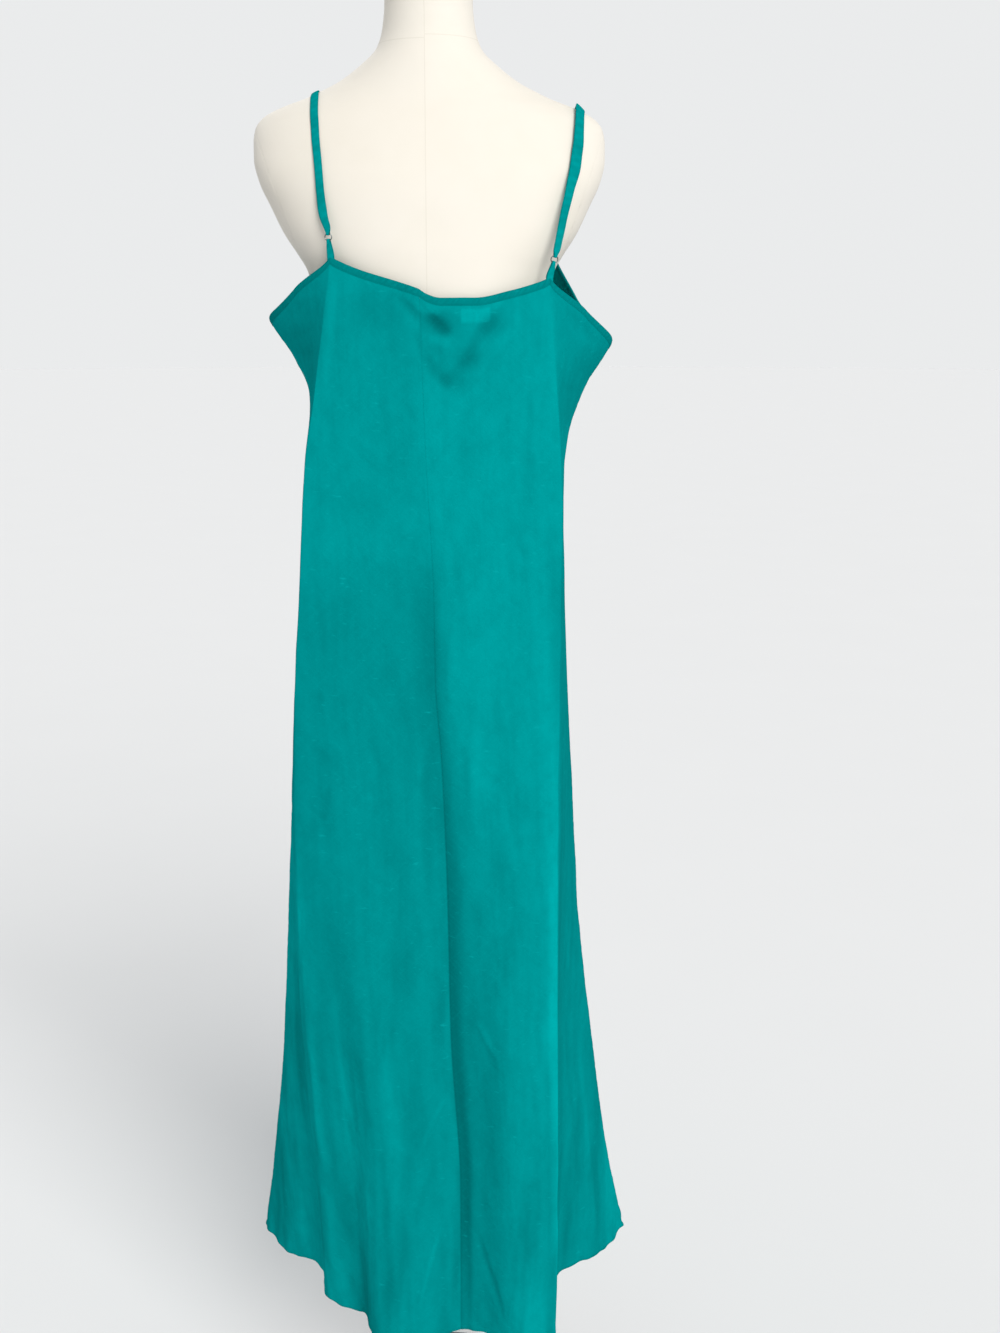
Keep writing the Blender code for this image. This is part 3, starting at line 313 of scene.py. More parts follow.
# Creases of the front, measured round from its middle, the wearer's right positive.
FRONT_CREASES = read_rows(Crease, 4, (
    (-12, 1338, -42, 1372, 2, 8, -0.9), (10, 1336, 46, 1376, -2, 8, -1.0), (-30, 1318, 26, 1310, 4, 9, -0.8),
    (-98, 1440, -86, 1330, 0, 9, 0.9), (106, 1432, 98, 1318, 0, 9, 0.9),
    (-150, 1352, -104, 1316, 3, 8, -0.9), (-162, 1320, -112, 1290, 3, 8, 0.7),
    (168, 1330, 116, 1296, -3, 8, -1.0), (176, 1300, 124, 1270, -3, 8, 0.7),
    (-60, 1262, -20, 1214, 2, 6, -0.5), (54, 1234, 22, 1176, 2, 6, -0.5), (82, 1196, 52, 1160, 1, 5, 0.4),
    (-96, 1150, -88, 1040, 3, 10, -0.6), (18, 1080, -4, 980, 3, 9, -0.6), (90, 1060, 96, 962, 3, 9, 0.6),
    (-34, 970, -62, 902, 3, 7, 0.6), (-50, 930, -74, 868, 3, 7, -0.6), (44, 910, 30, 850, 2, 7, -0.7),
    (108, 900, 128, 838, 2, 8, -0.8), (-124, 860, -136, 700, 3, 11, 1.0),
    (-104, 780, -110, 560, 4, 12, -1.1), (-16, 800, -10, 640, 3, 10, -0.8), (60, 760, 74, 560, 4, 12, 1.0),
    (130, 740, 146, 520, 4, 12, -1.2), (-166, 660, -186, 300, 5, 13, 1.4),
    (-140, 600, -152, 262, 5, 13, -1.4), (-64, 560, -78, 268, 4, 12, 1.1), (-30, 500, -36, 286, 3, 9, -0.9),
    (18, 540, 22, 264, 4, 11, 1.0), (52, 470, 66, 270, 4, 10, -1.0), (110, 500, 124, 266, 4, 12, 1.2),
    (172, 600, 200, 280, 5, 13, 1.4), (204, 460, 226, 300, 4, 9, -0.9), (-218, 480, -238, 300, 4, 9, -0.9),
    (-10, 420, 30, 350, 3, 7, 0.7), (-98, 400, -120, 320, 2, 7, -0.7),
))

# Painted shade and light on the cloth as soft darker and lighter areas: one bias-cut half darker than the
# other, and painted shade in its hollows.
PAINTED_SHADE_AND_LIGHT = read_rows(Patch, 4, (
    (78, 640, 98, 560, 0.22, -0.22), (78, 1290, 90, 150, 0.45, -0.1), (-226, 640, 110, 520, 0.12, -0.2),
    (-196, 1350, 66, 90, 0.3, -0.16), (0, 960, 15, 260, 0.9, -0.05), (1, 860, 56, 300, 1.0, -0.2, -1),
    (1, 440, 78, 420, 1.0, -0.4, -1), (-78, 620, 50, 520, 1.0, -0.12), (-121, 680, 24, 580, 0.8, 0.21),
    (119, 380, 27, 260, 0.9, 0.56), (262, 370, 85, 240, 0.8, 0.54), (180, 690, 34, 300, 0.9, 0.45),
    (152, 440, 16, 220, 0.9, 0.08), (-20, 1381, 30, 19, 1.0, -0.32), (-51, 1346, 24, 19, 1.0, -0.28),
    (-35, 1322, 27, 18, 1.0, -0.2), (-76, 1379, 26, 18, 0.9, -0.2), (-28, 1362, 85, 60, 0.8, -0.12),
    (35, 1398, 55, 32, 0.9, -0.14), (280, 700, 46, 170, 0.9, 0.6), (10, 1020, 18, 230, 1.0, -0.16),
    (262, 330, 30, 120, 0.9, 0.32), (1, 700, 88, 260, 1.0, -0.2, -1),
))

FORM_SECTIONS = read_rows(FormRow, 4, (
    (880, 130, 74, 88, 2.3), (884, 138, 82, 97, 2.3), (896, 144, 88, 103, 2.3), (960, 147.5, 96, 111, 2.3),
    (1020, 142, 98, 106, 2.3), (1100, 124, 93, 89, 2.3), (1160, 113, 87, 79, 2.3), (1205, 110, 85, 75, 2.3),
    (1260, 116, 90, 77, 2.3), (1330, 125, 99, 82, 2.3), (1380, 127, 102, 85, 2.3), (1420, 128, 99, 86, 2.3),
    (1434, 131, 98, 86, 2.3), (1450, 140, 96, 86, 2.3), (1472, 154.4, 93, 85, 2.3),
    (1498, 167, 90, 84, 2.25), (1527, 180, 84, 80, 2.15), (1547, 184.2, 78, 75, 2.0),
    (1564, 184, 71, 70, 1.9), (1578, 181.5, 66, 66, 1.8), (1588, 174, 62, 63, 1.75),
    (1598, 156, 59, 60, 1.7), (1608.5, 127, 57, 57, 1.7), (1615, 112.8, 56.5, 55.5, 1.72),
    (1622, 98, 56, 54, 1.75), (1638, 74.5, 55, 51, 1.85), (1657, 54.5, 54, 47, 2.0),
    (1674, 48.5, 54, 44, 2.0), (1700, 45.5, 53, 43, 2.0), (1734, 45, 52, 43, 2.0), (1740, 41, 48, 39, 2.0),
))
LEFT_STRAP_ROUTE = read_rows(StrapPoint, 3, (
    (108.2, 74.5, 1486, 8.0), (111.2, 71.2, 1510, 7.6), (113.2, 65, 1538, 7.2),
    (115.2, 55, 1562, 7.4, 0.0, True), (116.7, 40, 1584, 7.6, 0.0, True), (117.4, 22, 1602, 7.6, 0.0, True),
    (117.6, 0, 1612, 7.4, 0.0, True), (117.6, -22, 1602, 7.6, 0.0, True), (117.4, -40, 1584, 8.0, 0.0, True),
    (116, -55, 1562, 8.4, 0.0, True), (114.4, -67, 1536, 8.4), (111.6, -81, 1502, 8.4),
))
RIGHT_STRAP_ROUTE = read_rows(StrapPoint, 3, (
    (-130.6, 70.5, 1463, 7.4), (-135.2, 67.2, 1485, 7.6), (-142.4, 60, 1514, 9.0, 6.0),
    (-148, 50, 1540, 11.4, 8.0, True), (-151.4, 38, 1562, 11.2, 12.0, True),
    (-153.6, 22, 1584, 10.0, 16.0, True), (-156.8, 0, 1597, 9.4, 20.0, True),
    (-156, -22, 1584, 9.0, 6.0, True), (-153, -38, 1562, 8.4, 0.0, True), (-149, -51, 1540, 8.4, 0.0, True),
    (-143.4, -65, 1514, 8.4), (-137.8, -79, 1488, 8.4),
))
STRAP_SIDES = (
    StrapSide("left", 1, 5, LEFT_STRAP_ROUTE, 15.2 * MM, 0.085, 2.0),
    StrapSide("right", 11, 7, RIGHT_STRAP_ROUTE, 14.6 * MM, -0.245, 4.1),
)


# ---- reading the tables
def cubic_between(start: Array, leave: Array, end: Array, arrive: Array, share: Array) -> Array:
    """Read a cubic between two values.

    Args:
        start: value at share 0.
        leave: slope there, over the whole step.
        end: value at share 1.
        arrive: slope there, over the whole step.
        share: how far along, from 0 to 1.

    Returns:
        The values.
    """
    share2, share3 = share**2, share**3
    return ((2 * share3 - 3 * share2 + 1) * start + (share3 - 2 * share2 + share) * leave
            + (3 * share2 - 2 * share3) * end + (share3 - share2) * arrive)


def smooth_curve(knots: Array, values: Array, where: Array) -> Array:
    """Read a smooth curve through knots without overshoot.

    Args:
        knots: rising places.
        values: the curve's value at each knot.
        where: places to read.

    Returns:
        The curve's values there.
    """
    knots = np.asarray(knots, float)
    values = np.asarray(values, float)
    where = np.clip(np.asarray(where, float), knots[0], knots[-1])
    step = np.diff(knots)
    rise = np.diff(values) / step
    slope = np.zeros_like(values)
    slope[0], slope[-1] = rise[0], rise[-1]
    for index in range(1, len(knots) - 1):
        before, after = rise[index - 1], rise[index]
        if before * after > 0.0:
            near = 2.0 * step[index] + step[index - 1]
            far = step[index] + 2.0 * step[index - 1]
            slope[index] = (near + far) / (near / before + far / after)
    piece = np.clip(np.searchsorted(knots, where, side="right") - 1, 0, len(step) - 1)
    share = (where - knots[piece]) / step[piece]
    return cubic_between(values[piece], step[piece] * slope[piece], values[piece + 1],
                         step[piece] * slope[piece + 1], share)


def row_at(rows: tuple, height: Array) -> tuple:
    """Read a table of heights between its rows.

    Args:
        rows: the table, whose rows begin with their height.
        height: heights to read at.

    Returns:
        A row of the table's own kind, with the values at those heights.
    """
    ordered = sorted(rows)
    knots = [row.height for row in ordered]
    return type(rows[0])(*(smooth_curve(knots, column, height) for column in zip(*ordered)))


def unit(vectors: Array) -> Array:
    """Scale vectors along the last axis to length one."""
    return vectors / np.linalg.norm(vectors, axis=-1, keepdims=True)


def bump(distance: Array) -> Array:
    """Smooth hump: 1 at zero distance and 0 from distance 1 outwards."""
    return np.clip(1.0 - distance * distance, 0.0, 1.0) ** 2


def ease(share: Array) -> Array:
    """Smooth step from 0 to 1."""
    share = np.clip(share, 0.0, 1.0)
    return share * share * (3.0 - 2.0 * share)


def line_at(distance: Array, spread: float) -> Array:
    """Soft line: 1 at zero distance, fading over the spread."""
    return np.exp(-((distance / spread) ** 2))


def sines(rows: tuple, place: Array) -> Array:
    """Sum of sine waves, each given by its size, radians a metre and phase."""
    return sum(size * np.sin(place * pitch + phase) for size, pitch, phase in rows)


def signed_power(value: Array, power: Array) -> Array:
    """Raise a value's size to a power and keep its sign."""
    return np.sign(value) * np.abs(value) ** power


def run_along(line: Array) -> Array:
    """Way along a line of points, from 0 at its first."""
    return np.concatenate(([0.0], np.cumsum(np.linalg.norm(np.diff(line, axis=0), axis=1))))


def draw_in(grid: Array, gap: float) -> None:
    """Move a grid's first and last columns towards their neighbours, which leaves a gap at a seam."""
    for end, sign in ((0, 1), (-1, -1)):
        grid[end] += unit(grid[end + sign] - grid[end]) * gap


def grid_normals(grid: Array) -> Array:
    """Normals of a grid of points, whose columns run round and whose rows run down."""
    return unit(np.cross(np.gradient(grid, axis=0), np.gradient(grid, axis=1)))


# ---- the surface of the dress
class Drape:
    """The dress's outer surface, by station round it and height."""

    LEVELS = (0.22, 1.48, 64)
    ARC_STEP = 0.05
    MOST_FALL = 1.1
    FALL_POWER = 1.5
    STEP = 1.0 * MM
    SAMPLES = 2000
    MEASURED_AT = (0.26, 0.5, 0.8, 1.1, 1.33)
    CLEAR_OF_SEAM = 0.6
    CLEAR_OF_FOLD = 0.4

    def __init__(self) -> None:
        """Measure the way round the dress once, so that creases can be placed in metres."""
        self.levels = np.linspace(*self.LEVELS)
        stations = np.arange(0.0, STATIONS + self.ARC_STEP / 2, self.ARC_STEP)
        station, height = np.meshgrid(stations, self.levels, indexing="ij")
        points = self.points(np.minimum(station, LAST_STATION), height)
        steps = np.linalg.norm(np.diff(points[..., :2], axis=0), axis=-1)
        self.table = np.concatenate((np.zeros((1, len(self.levels))), np.cumsum(steps, axis=0)))

    def edge(self, station: Array) -> Array:
        """Read the finished top edge.

        Args:
            station: stations from 0 to 12.

        Returns:
            The edge's height there, which is level for a little way beside a strap corner.
        """
        station = np.asarray(station, float)
        height = np.empty_like(station)
        for start, end in zip(EDGE_CORNERS[:-1], EDGE_CORNERS[1:]):
            rows = [row for row in TOP_EDGE if start <= row[0] <= end]
            here = (station >= start) & (station <= end)
            first = start + CORNER_FLAT if start in STRAP_CORNERS else start
            last = end - CORNER_FLAT if end in STRAP_CORNERS else end
            spread = first + (np.array([row[0] for row in rows]) - start) * (last - first) / (end - start)
            height[here] = smooth_curve(spread, [row[1] for row in rows], station[here])
        return height

    def stations(self, height: Array) -> Array:
        """Place the twelve stations in plan.

        Args:
            height: heights, of any shape.

        Returns:
            Their x and y, as stations x heights x 2.
        """
        back, front = row_at(BACK_SEAM_LINE, height), row_at(FRONT_SHAPE, height)
        left, right = row_at(LEFT_SIDE_SHAPE, height), row_at(RIGHT_SIDE_SHAPE, height)
        places = (
            (back.x, back.y),
            (left.fold_x, left.fold_y),
            (left.hollow_x, left.hollow_y),
            (left.seam_x, left.seam_y),
            (0.5 * (left.seam_x + front.left_x) - front.tuck, 0.5 * (left.seam_y + front.left_y)),
            (front.left_x, front.left_y),
            (np.zeros_like(height), front.middle_y),
            (-front.right_x, front.right_y),
            (front.tuck - 0.5 * (right.seam_x + front.right_x), 0.5 * (right.seam_y + front.right_y)),
            (-right.seam_x, right.seam_y),
            (-right.hollow_x, right.hollow_y),
            (-right.fold_x, right.fold_y),
        )
        return np.stack([np.stack(place, axis=-1) for place in places])

    def section(self, station: Array, height: Array) -> tuple[Array, Array]:
        """Read the plain section in plan.

        Args:
            station, height: stations and heights, of one shape.

        Returns:
            The places and the outward directions, each with a last axis of two.
        """
        points = self.stations(height)
        ahead = unit(np.roll(points, -1, axis=0) - points)
        heading = unit(ahead + np.roll(ahead, 1, axis=0))
        station = np.mod(station, STATIONS)
        near = np.minimum(station.astype(int), STATIONS - 1)
        far = (near + 1) % STATIONS
        share = (station - near)[..., None]
        grid = np.indices(station.shape)
        start, end = points[(near, *grid)], points[(far, *grid)]
        run = np.linalg.norm(end - start, axis=-1, keepdims=True)
        leave = start + heading[(near, *grid)] * self.turn(near, height, run)
        arrive = end - heading[(far, *grid)] * self.turn(far, height, run)
        rest = 1.0 - share
        both = rest * share
        place = rest**3 * start + 3 * both * (rest * leave + share * arrive) + share**3 * end
        along = unit(rest**2 * (leave - start) + 2 * both * (arrive - leave) + share**2 * (end - arrive))
        return place, np.stack((-along[..., 1], along[..., 0]), axis=-1)

    @staticmethod
    def turn(station: Array, height: Array, run: Array) -> Array:
        """Find the reach over which the cloth turns at whole stations.

        Args:
            station: whole stations.
            height: heights, of the same shape.
            run: way to the next station, with a last axis of one.

        Returns:
            The reach in metres, short where a fold is pressed.
        """
        turn = np.array(TURN_SHARE)[station][..., None] * run
        for fold in CRISP_FOLDS:
            pressed = ease((height - fold.low) / (fold.high - fold.low)) * (station == fold.station)
            turn = turn + (fold.reach * MM - turn) * pressed[..., None]
        return turn

    def folds(self, station: Array, height: Array) -> Array:
        """Find how far the flutes and sags move the cloth outwards.

        Args:
            station, height: stations and heights, of one shape.

        Returns:
            The move in metres.
        """
        depth = np.zeros_like(height)
        for flute in FLUTES:
            fall = np.clip((flute.start - height) / (flute.start - HEM), 0.0, self.MOST_FALL)
            gap = self.gap(station, flute.station + flute.drift * (1.0 - fall))
            half = np.where(gap < 0.0, flute.before, flute.after)
            depth += flute.depth * fall**self.FALL_POWER * bump(gap / half)
        for sag in SAGS:
            side = self.gap(station, sag.station) / sag.spread
            middle = sag.height + SAG_RISE * side * side
            depth += sag.depth * bump(side) * bump((height - middle) / sag.drop)
        return depth

    @staticmethod
    def gap(station: Array, middle: Array) -> Array:
        """Shortest way round from one station to another."""
        return np.mod(station - middle + STATIONS / 2, STATIONS) - STATIONS / 2

    def points(self, station: Array, height: Array) -> Array:
        """Place points on the outside of the dress.

        Args:
            station, height: stations and heights, of one shape.

        Returns:
            The points.
        """
        place, outward = self.section(station, height)
        place = place + outward * self.folds(station, height)[..., None]
        return np.concatenate((place, height[..., None]), axis=-1)

    def normals(self, station: Array, height: Array) -> Array:
        """Find the outward normals of the dress.

        Args:
            station, height: stations and heights, of one shape.

        Returns:
            The normals, with a last axis of three.
        """
        around = self.points(station + self.STEP, height) - self.points(station - self.STEP, height)
        up = self.points(station, height + self.STEP) - self.points(station, height - self.STEP)
        return unit(np.cross(up, around))

    def arc(self, station: Array, height: Array) -> Array:
        """Measure the way round the dress from the centre-back seam.

        Args:
            station: stations, which may lie past a whole turn.
            height: heights, of the same shape.

        Returns:
            The way in metres.
        """
        turns = np.floor(station / STATIONS)
        column = np.clip((station - turns * STATIONS) / self.ARC_STEP, 0, len(self.table) - 1.001)
        spacing = self.levels[1] - self.levels[0]
        row = np.clip((height - self.levels[0]) / spacing, 0, len(self.levels) - 1.001)
        left, low = column.astype(int), row.astype(int)
        across, up = column - left, row - low
        table = self.table
        whole = turns * ((1 - up) * table[-1, low] + up * table[-1, low + 1])
        return (whole + (1 - across) * ((1 - up) * table[left, low] + up * table[left, low + 1])
                + across * ((1 - up) * table[left + 1, low] + up * table[left + 1, low + 1]))

    def even_stations(self, first: float, last: float, count: int) -> Array:
        """Find stations that lie evenly along the cloth, closer at seams and crisp folds.

        Args:
            first: first station.
            last: last station.
            count: how many, without those added at a fold.

        Returns:
            The stations, with the ends exact.
        """
        dense = np.linspace(first, last, self.SAMPLES)
        lengths = np.mean([self.arc(dense, np.full_like(dense, z)) for z in self.MEASURED_AT], axis=0)
        beside = np.array((0.0, *SEAM_COLUMNS))
        spacing = (lengths[-1] - lengths[0]) / (count - 2 * len(beside) + 1)
        margin = max(SEAM_COLUMNS) + self.CLEAR_OF_SEAM * spacing
        middle = np.linspace(lengths[0] + margin, lengths[-1] - margin, count - 2 * len(beside))
        places = np.concatenate((lengths[0] + beside, middle, (lengths[-1] - beside)[::-1]))
        for fold in CRISP_FOLDS:
            if first < fold.station < last:
                line = np.interp(fold.station, dense, lengths)
                places = places[np.abs(places - line) > max(FOLD_COLUMNS) + self.CLEAR_OF_FOLD * spacing]
                places = np.concatenate((places, line + np.array(FOLD_COLUMNS)))
        stations = np.interp(np.sort(places), lengths, dense)
        stations[0], stations[-1] = first, last
        return stations


class Relief:
    """Creases, puckers, ripples and the rolled hem, as a height over the plain drape."""

    SEED = 41
    WAVES = 22
    WAVE_SLANT = 1.15
    WAVE_LENGTHS = (0.014, 0.095)
    WAVE_DEPTH = 0.0015
    CREASE_TAPER = 0.32
    PUCKER = 0.13 * MM
    PUCKER_REACH = 6 * MM
    TONE = 0.72
    # Painted shade in the creases' troughs and painted highlight on their ridges, by crease height in mm,
    # within a range.
    FOLD_PAINTED_SHADE_AND_LIGHT = 0.09
    FOLD_PAINTED_SHADE_AND_LIGHT_RANGE = (-0.22, 0.16)
    OBLONG_BELOW = 0.5
    SIDE_SOFT = 2.0 * MM
    SEAM_LINE = 0.9 * MM
    GROOVE_LINE = 0.8 * MM
    EDGE_FADE = 0.012
    HEM_FLARE = (0.35, 1.1)
    HEM_FADE = 0.022
    TIP_SPREAD = 0.05
    HEM_ROLLS = ((0.45, 2.4, 3.4), (-0.30, 5.6, 0.9))
    DROP = 0.9 * MM
    DROP_WAVES = ((0.8, 131, 0.4), (0.6, 217, 1.9), (0.5, 67, 0.0))
    DROP_FADE = 0.03

    def __init__(self, drape: Drape) -> None:
        """Draw the seeded set of faint ripples."""
        self.drape = drape
        chance = np.random.RandomState(self.SEED)
        slant = chance.uniform(-self.WAVE_SLANT, self.WAVE_SLANT, self.WAVES)
        length = chance.uniform(*self.WAVE_LENGTHS, self.WAVES)
        phase = chance.uniform(0, 6.28, self.WAVES)
        self.waves = [(math.cos(a) * 2 * math.pi / w, math.sin(a) * 2 * math.pi / w, p, self.WAVE_DEPTH * w)
                      for a, w, p in zip(slant, length, phase)]

    def creases(self, rows: tuple, u: Array, z: Array) -> Array:
        """Add up soft ridges and troughs.

        Args:
            rows: the creases.
            u, z: way round the cloth and height, in metres.

        Returns:
            Their height in metres, outwards.
        """
        relief = np.zeros_like(z)
        for row in rows:
            run_u, run_z = row.u1 - row.u0, row.z1 - row.z0
            length = math.hypot(run_u, run_z)
            along_u, along_z = run_u / length, run_z / length
            share = ((u - row.u0) * along_u + (z - row.z0) * along_z) / length
            inside = np.clip(share, 0.0, 1.0)
            side = (z - row.z0) * along_u - (u - row.u0) * along_z - 4 * row.bow * MM * inside * (1 - inside)
            width = row.width * MM * (0.6 + 0.4 * np.sin(math.pi * inside))
            taper = ease(np.minimum(share, 1.0 - share) / self.CREASE_TAPER)
            relief += row.depth * MM * bump(side / width) * taper
        return relief

    def ripples(self, u: Array, z: Array) -> Array:
        """Add up the faint uneven ripples.

        Args:
            u, z: way round the cloth and height, in metres.

        Returns:
            Their height in metres, fainter in some places than in others.
        """
        patch = 0.55 + 0.45 * np.sin(u * 23 + 1.7) * np.sin(z * 11 + 0.6) + 0.25 * np.sin(u * 41 - z * 29)
        total = np.zeros_like(z)
        for across, up, phase, size in self.waves:
            total += size * np.sin(across * u + up * z + phase + 1.3 * np.sin(z * 17 + phase))
        return total * np.clip(patch, 0.1, 1.2)

    def pucker(self, distance: Array, z: Array, phase: float) -> Array:
        """Make small puckers beside a seam.

        Args:
            distance: way from the seam in metres.
            z: height in metres.
            phase: where their waves begin.

        Returns:
            Their height in metres, fading with the distance.
        """
        wave = sines(((1.0, 700, phase), (0.8, 431, 2.1 * phase), (0.6, 283, 0.7)), z)
        calm = 0.35 + 0.65 * (0.5 + 0.5 * np.sin(z * 37 + phase))
        return self.PUCKER * wave * calm * np.exp(-np.abs(distance) / self.PUCKER_REACH)

    def folded(self, station: Array, z: Array) -> Array:
        """Height of all the listed creases at stations and heights."""
        back, front = self.away(0.0, station, z), self.away(FRONT_MIDDLE, station, z)
        return self.creases(BACK_CREASES, back, z) + self.creases(FRONT_CREASES, front, z)

    def away(self, start: float, station: Array, z: Array) -> Array:
        """Measure the way round from a station, the wearer's left positive on the back.

        Args:
            start: the station that it is measured from.
            station, z: stations and heights, of one shape.

        Returns:
            The way in metres, which from the centre-back seam is the shorter way.
        """
        arc = self.drape.arc(station, z)
        if start:
            return arc - self.drape.arc(np.full_like(station, start), z)
        return np.where(station < FRONT_MIDDLE, arc, arc - self.drape.arc(np.full_like(station, STATIONS), z))

    def tone(self, station: Array, z: Array) -> Array:
        """Tone the cloth: soft patches of painted shade and light, painted shade in hollows, painted
        highlight on ridges, darker seams.

        Args:
            station, z: stations and heights, of one shape.

        Returns:
            Its tone, from 0 for the deep colour to 1 for the lit one.
        """
        back = self.away(0.0, station, z)
        # Painted shade in crease troughs and painted highlight on crease ridges.
        tone = self.TONE + np.clip(self.FOLD_PAINTED_SHADE_AND_LIGHT * self.folded(station, z) / MM, *self.FOLD_PAINTED_SHADE_AND_LIGHT_RANGE)
        # Painted shade and light: soft darker and lighter areas of the cloth.
        for patch in PAINTED_SHADE_AND_LIGHT:
            across, up = (back - patch.u) / patch.half_u, (z - patch.z) / patch.half_z
            oblong = patch.soft < self.OBLONG_BELOW
            reach = np.maximum(np.abs(across), np.abs(up)) if oblong else np.hypot(across, up)
            share = ease((1.0 - reach) / patch.soft)
            if patch.side:
                share = share * ease((back - patch.u) * patch.side / self.SIDE_SOFT + 0.5)
            tone += patch.change * share
        for seam in SEAMS:
            tone -= seam.shade * line_at(self.away(seam.station, station, z), self.SEAM_LINE)
        return tone

    def height(self, station: Array, z: Array) -> Array:
        """Add up the whole relief.

        Args:
            station, z: stations and heights, of one shape.

        Returns:
            Its height in metres, outwards.
        """
        arc = self.drape.arc(station, z)
        relief = self.folded(station, z) + self.ripples(self.away(0.0, station, z), z)
        for seam in SEAMS:
            distance = self.away(seam.station, station, z)
            relief += self.pucker(distance, z, seam.phase)
            relief -= seam.groove * MM * line_at(distance, self.GROOVE_LINE)
        relief *= ease((self.drape.edge(np.mod(station, STATIONS)) - BAND - z) / self.EDGE_FADE)
        rise = z - HEM
        tips = sum(line_at(self.away(side, station, z), self.TIP_SPREAD) for side in (LEFT_SEAM, RIGHT_SEAM))
        flare = (self.HEM_FLARE[0] + self.HEM_FLARE[1] * tips) * MM
        relief += flare * np.sin(arc * 290 + 2 * np.sin(arc * 61)) * np.exp(-rise / self.HEM_FADE)
        for size, middle, half in self.HEM_ROLLS:
            relief += size * MM * bump((rise - middle * MM) / (half * MM))
        return relief

    def drop(self, station: Array, z: Array) -> Array:
        """How far the cloth near the hem hangs lower or higher than a level hem."""
        wave = sines(self.DROP_WAVES, self.drape.arc(station, z))
        return self.DROP * wave * np.exp(-(z - HEM) / self.DROP_FADE)


# ---- finishes
def set_inputs(node: bpy.types.Node, values: dict) -> None:
    """Set a node's input sockets by name, with _ for a space."""
    for socket, value in values.items():
        node.inputs[socket.replace("_", " ")].default_value = value


def shader_of(name: str, color: tuple, **values: float | tuple) -> tuple:
    """Start a material.

    Args:
        name: the material's name.
        color: base colour as three linear values.
        values: other inputs of the shader, with _ for a space.

    Returns:
        The material, its node tree and its Principled shader.
    """
    material = bpy.data.materials.new(name)
    material.use_nodes = True
    material.diffuse_color = (*color, 1.0)
    shader = material.node_tree.nodes["Principled BSDF"]
    shader.inputs["Base Color"].default_value = (*color, 1.0)
    set_inputs(shader, values)
    return material, material.node_tree, shader


def add_node(tree: Tree, kind: str, **values: float | tuple) -> bpy.types.Node:
    """Add a shader node and set its input sockets.

    Args:
        tree: the node tree.
        kind: the node's type without "ShaderNode".
        values: its inputs, with _ for a space.

    Returns:
        The node.
    """
    node = tree.nodes.new("ShaderNode" + kind)
    set_inputs(node, values)
    return node


def noise_of(tree: Tree, place: Socket, **values: float) -> Socket:
    """Add a noise texture.

    Args:
        tree: the node tree.
        place: where it is read.
        values: its inputs, with _ for a space.

    Returns:
        Its value's socket.
    """
    noise = add_node(tree, "TexNoise", **values)
    tree.links.new(place, noise.inputs["Vector"])
    return noise.outputs["Fac"]


def axes_of(tree: Tree, place: Socket) -> list[Socket]:
    """Split a place into its x, y and z."""
    parts = add_node(tree, "SeparateXYZ")
    tree.links.new(place, parts.inputs["Vector"])
    return [parts.outputs[axis] for axis in "XYZ"]


def fill(tree: Tree, socket: Socket, value: float | tuple | Socket) -> None:
    """Give a socket a number or a colour, or join another socket to it."""
    if isinstance(value, Socket):
        tree.links.new(value, socket)
    else:
        socket.default_value = (*value, 1.0) if isinstance(value, tuple) else value


def mix_colors(tree: Tree, first: tuple | Socket, second: tuple | Socket, factor: Socket) -> Socket:
    """Blend two colours by a factor.

    Args:
        tree: the node tree.
        first: colour or socket at factor 0.
        second: colour or socket at factor 1.
        factor: the factor's socket.

    Returns:
        The blended colour's socket.
    """
    mix = add_node(tree, "Mix")
    mix.data_type = "RGBA"
    for name, value in (("Factor_Float", factor), ("A_Color", first), ("B_Color", second)):
        fill(tree, next(socket for socket in mix.inputs if socket.identifier == name), value)
    return next(socket for socket in mix.outputs if socket.identifier == "Result_Color")


def math_of(tree: Tree, operation: str, *values: float | Socket) -> Socket:
    """Combine numbers or sockets.

    Args:
        tree: the node tree.
        operation: the sum that is done.
        values: what it takes.

    Returns:
        The result's socket.
    """
    node = add_node(tree, "Math")
    node.operation = operation
    for socket, value in zip(node.inputs, values):
        fill(tree, socket, value)
    return node.outputs["Value"]


def ramp_of(tree: Tree, source: Socket, low: float, high: float, most: float | Socket = 1.0) -> Socket:
    """Stretch a value and clamp it.

    Args:
        tree: the node tree.
        source: the value's socket.
        low: value that becomes 0.
        high: value that becomes the most.
        most: the most, as a number or a socket.

    Returns:
        The result's socket.
    """
    node = add_node(tree, "MapRange", From_Min=low, From_Max=high)
    fill(tree, node.inputs["To Max"], most)
    tree.links.new(source, node.inputs["Value"])
    return node.outputs["Result"]


def bump_of(tree: Tree, height: Socket, strength: float, distance: float,
            below: Socket | None = None) -> Socket:
    """Add a bump node, over another one if there is one.

    Args:
        tree: the node tree.
        height: the relief's socket.
        strength: how much of it counts.
        distance: its height in metres.
        below: the normal of the coarser bump.

    Returns:
        The new normal's socket.
    """
    node = add_node(tree, "Bump", Strength=strength, Distance=distance)
    tree.links.new(height, node.inputs["Height"])
    if below is not None:
        tree.links.new(below, node.inputs["Normal"])
    return node.outputs["Normal"]


class Streak(NamedTuple):
    """Stretched noise: scales across and along, the values between which it comes in, and its most."""

    across: float
    along: float
    low: float
    high: float
    most: float | Socket


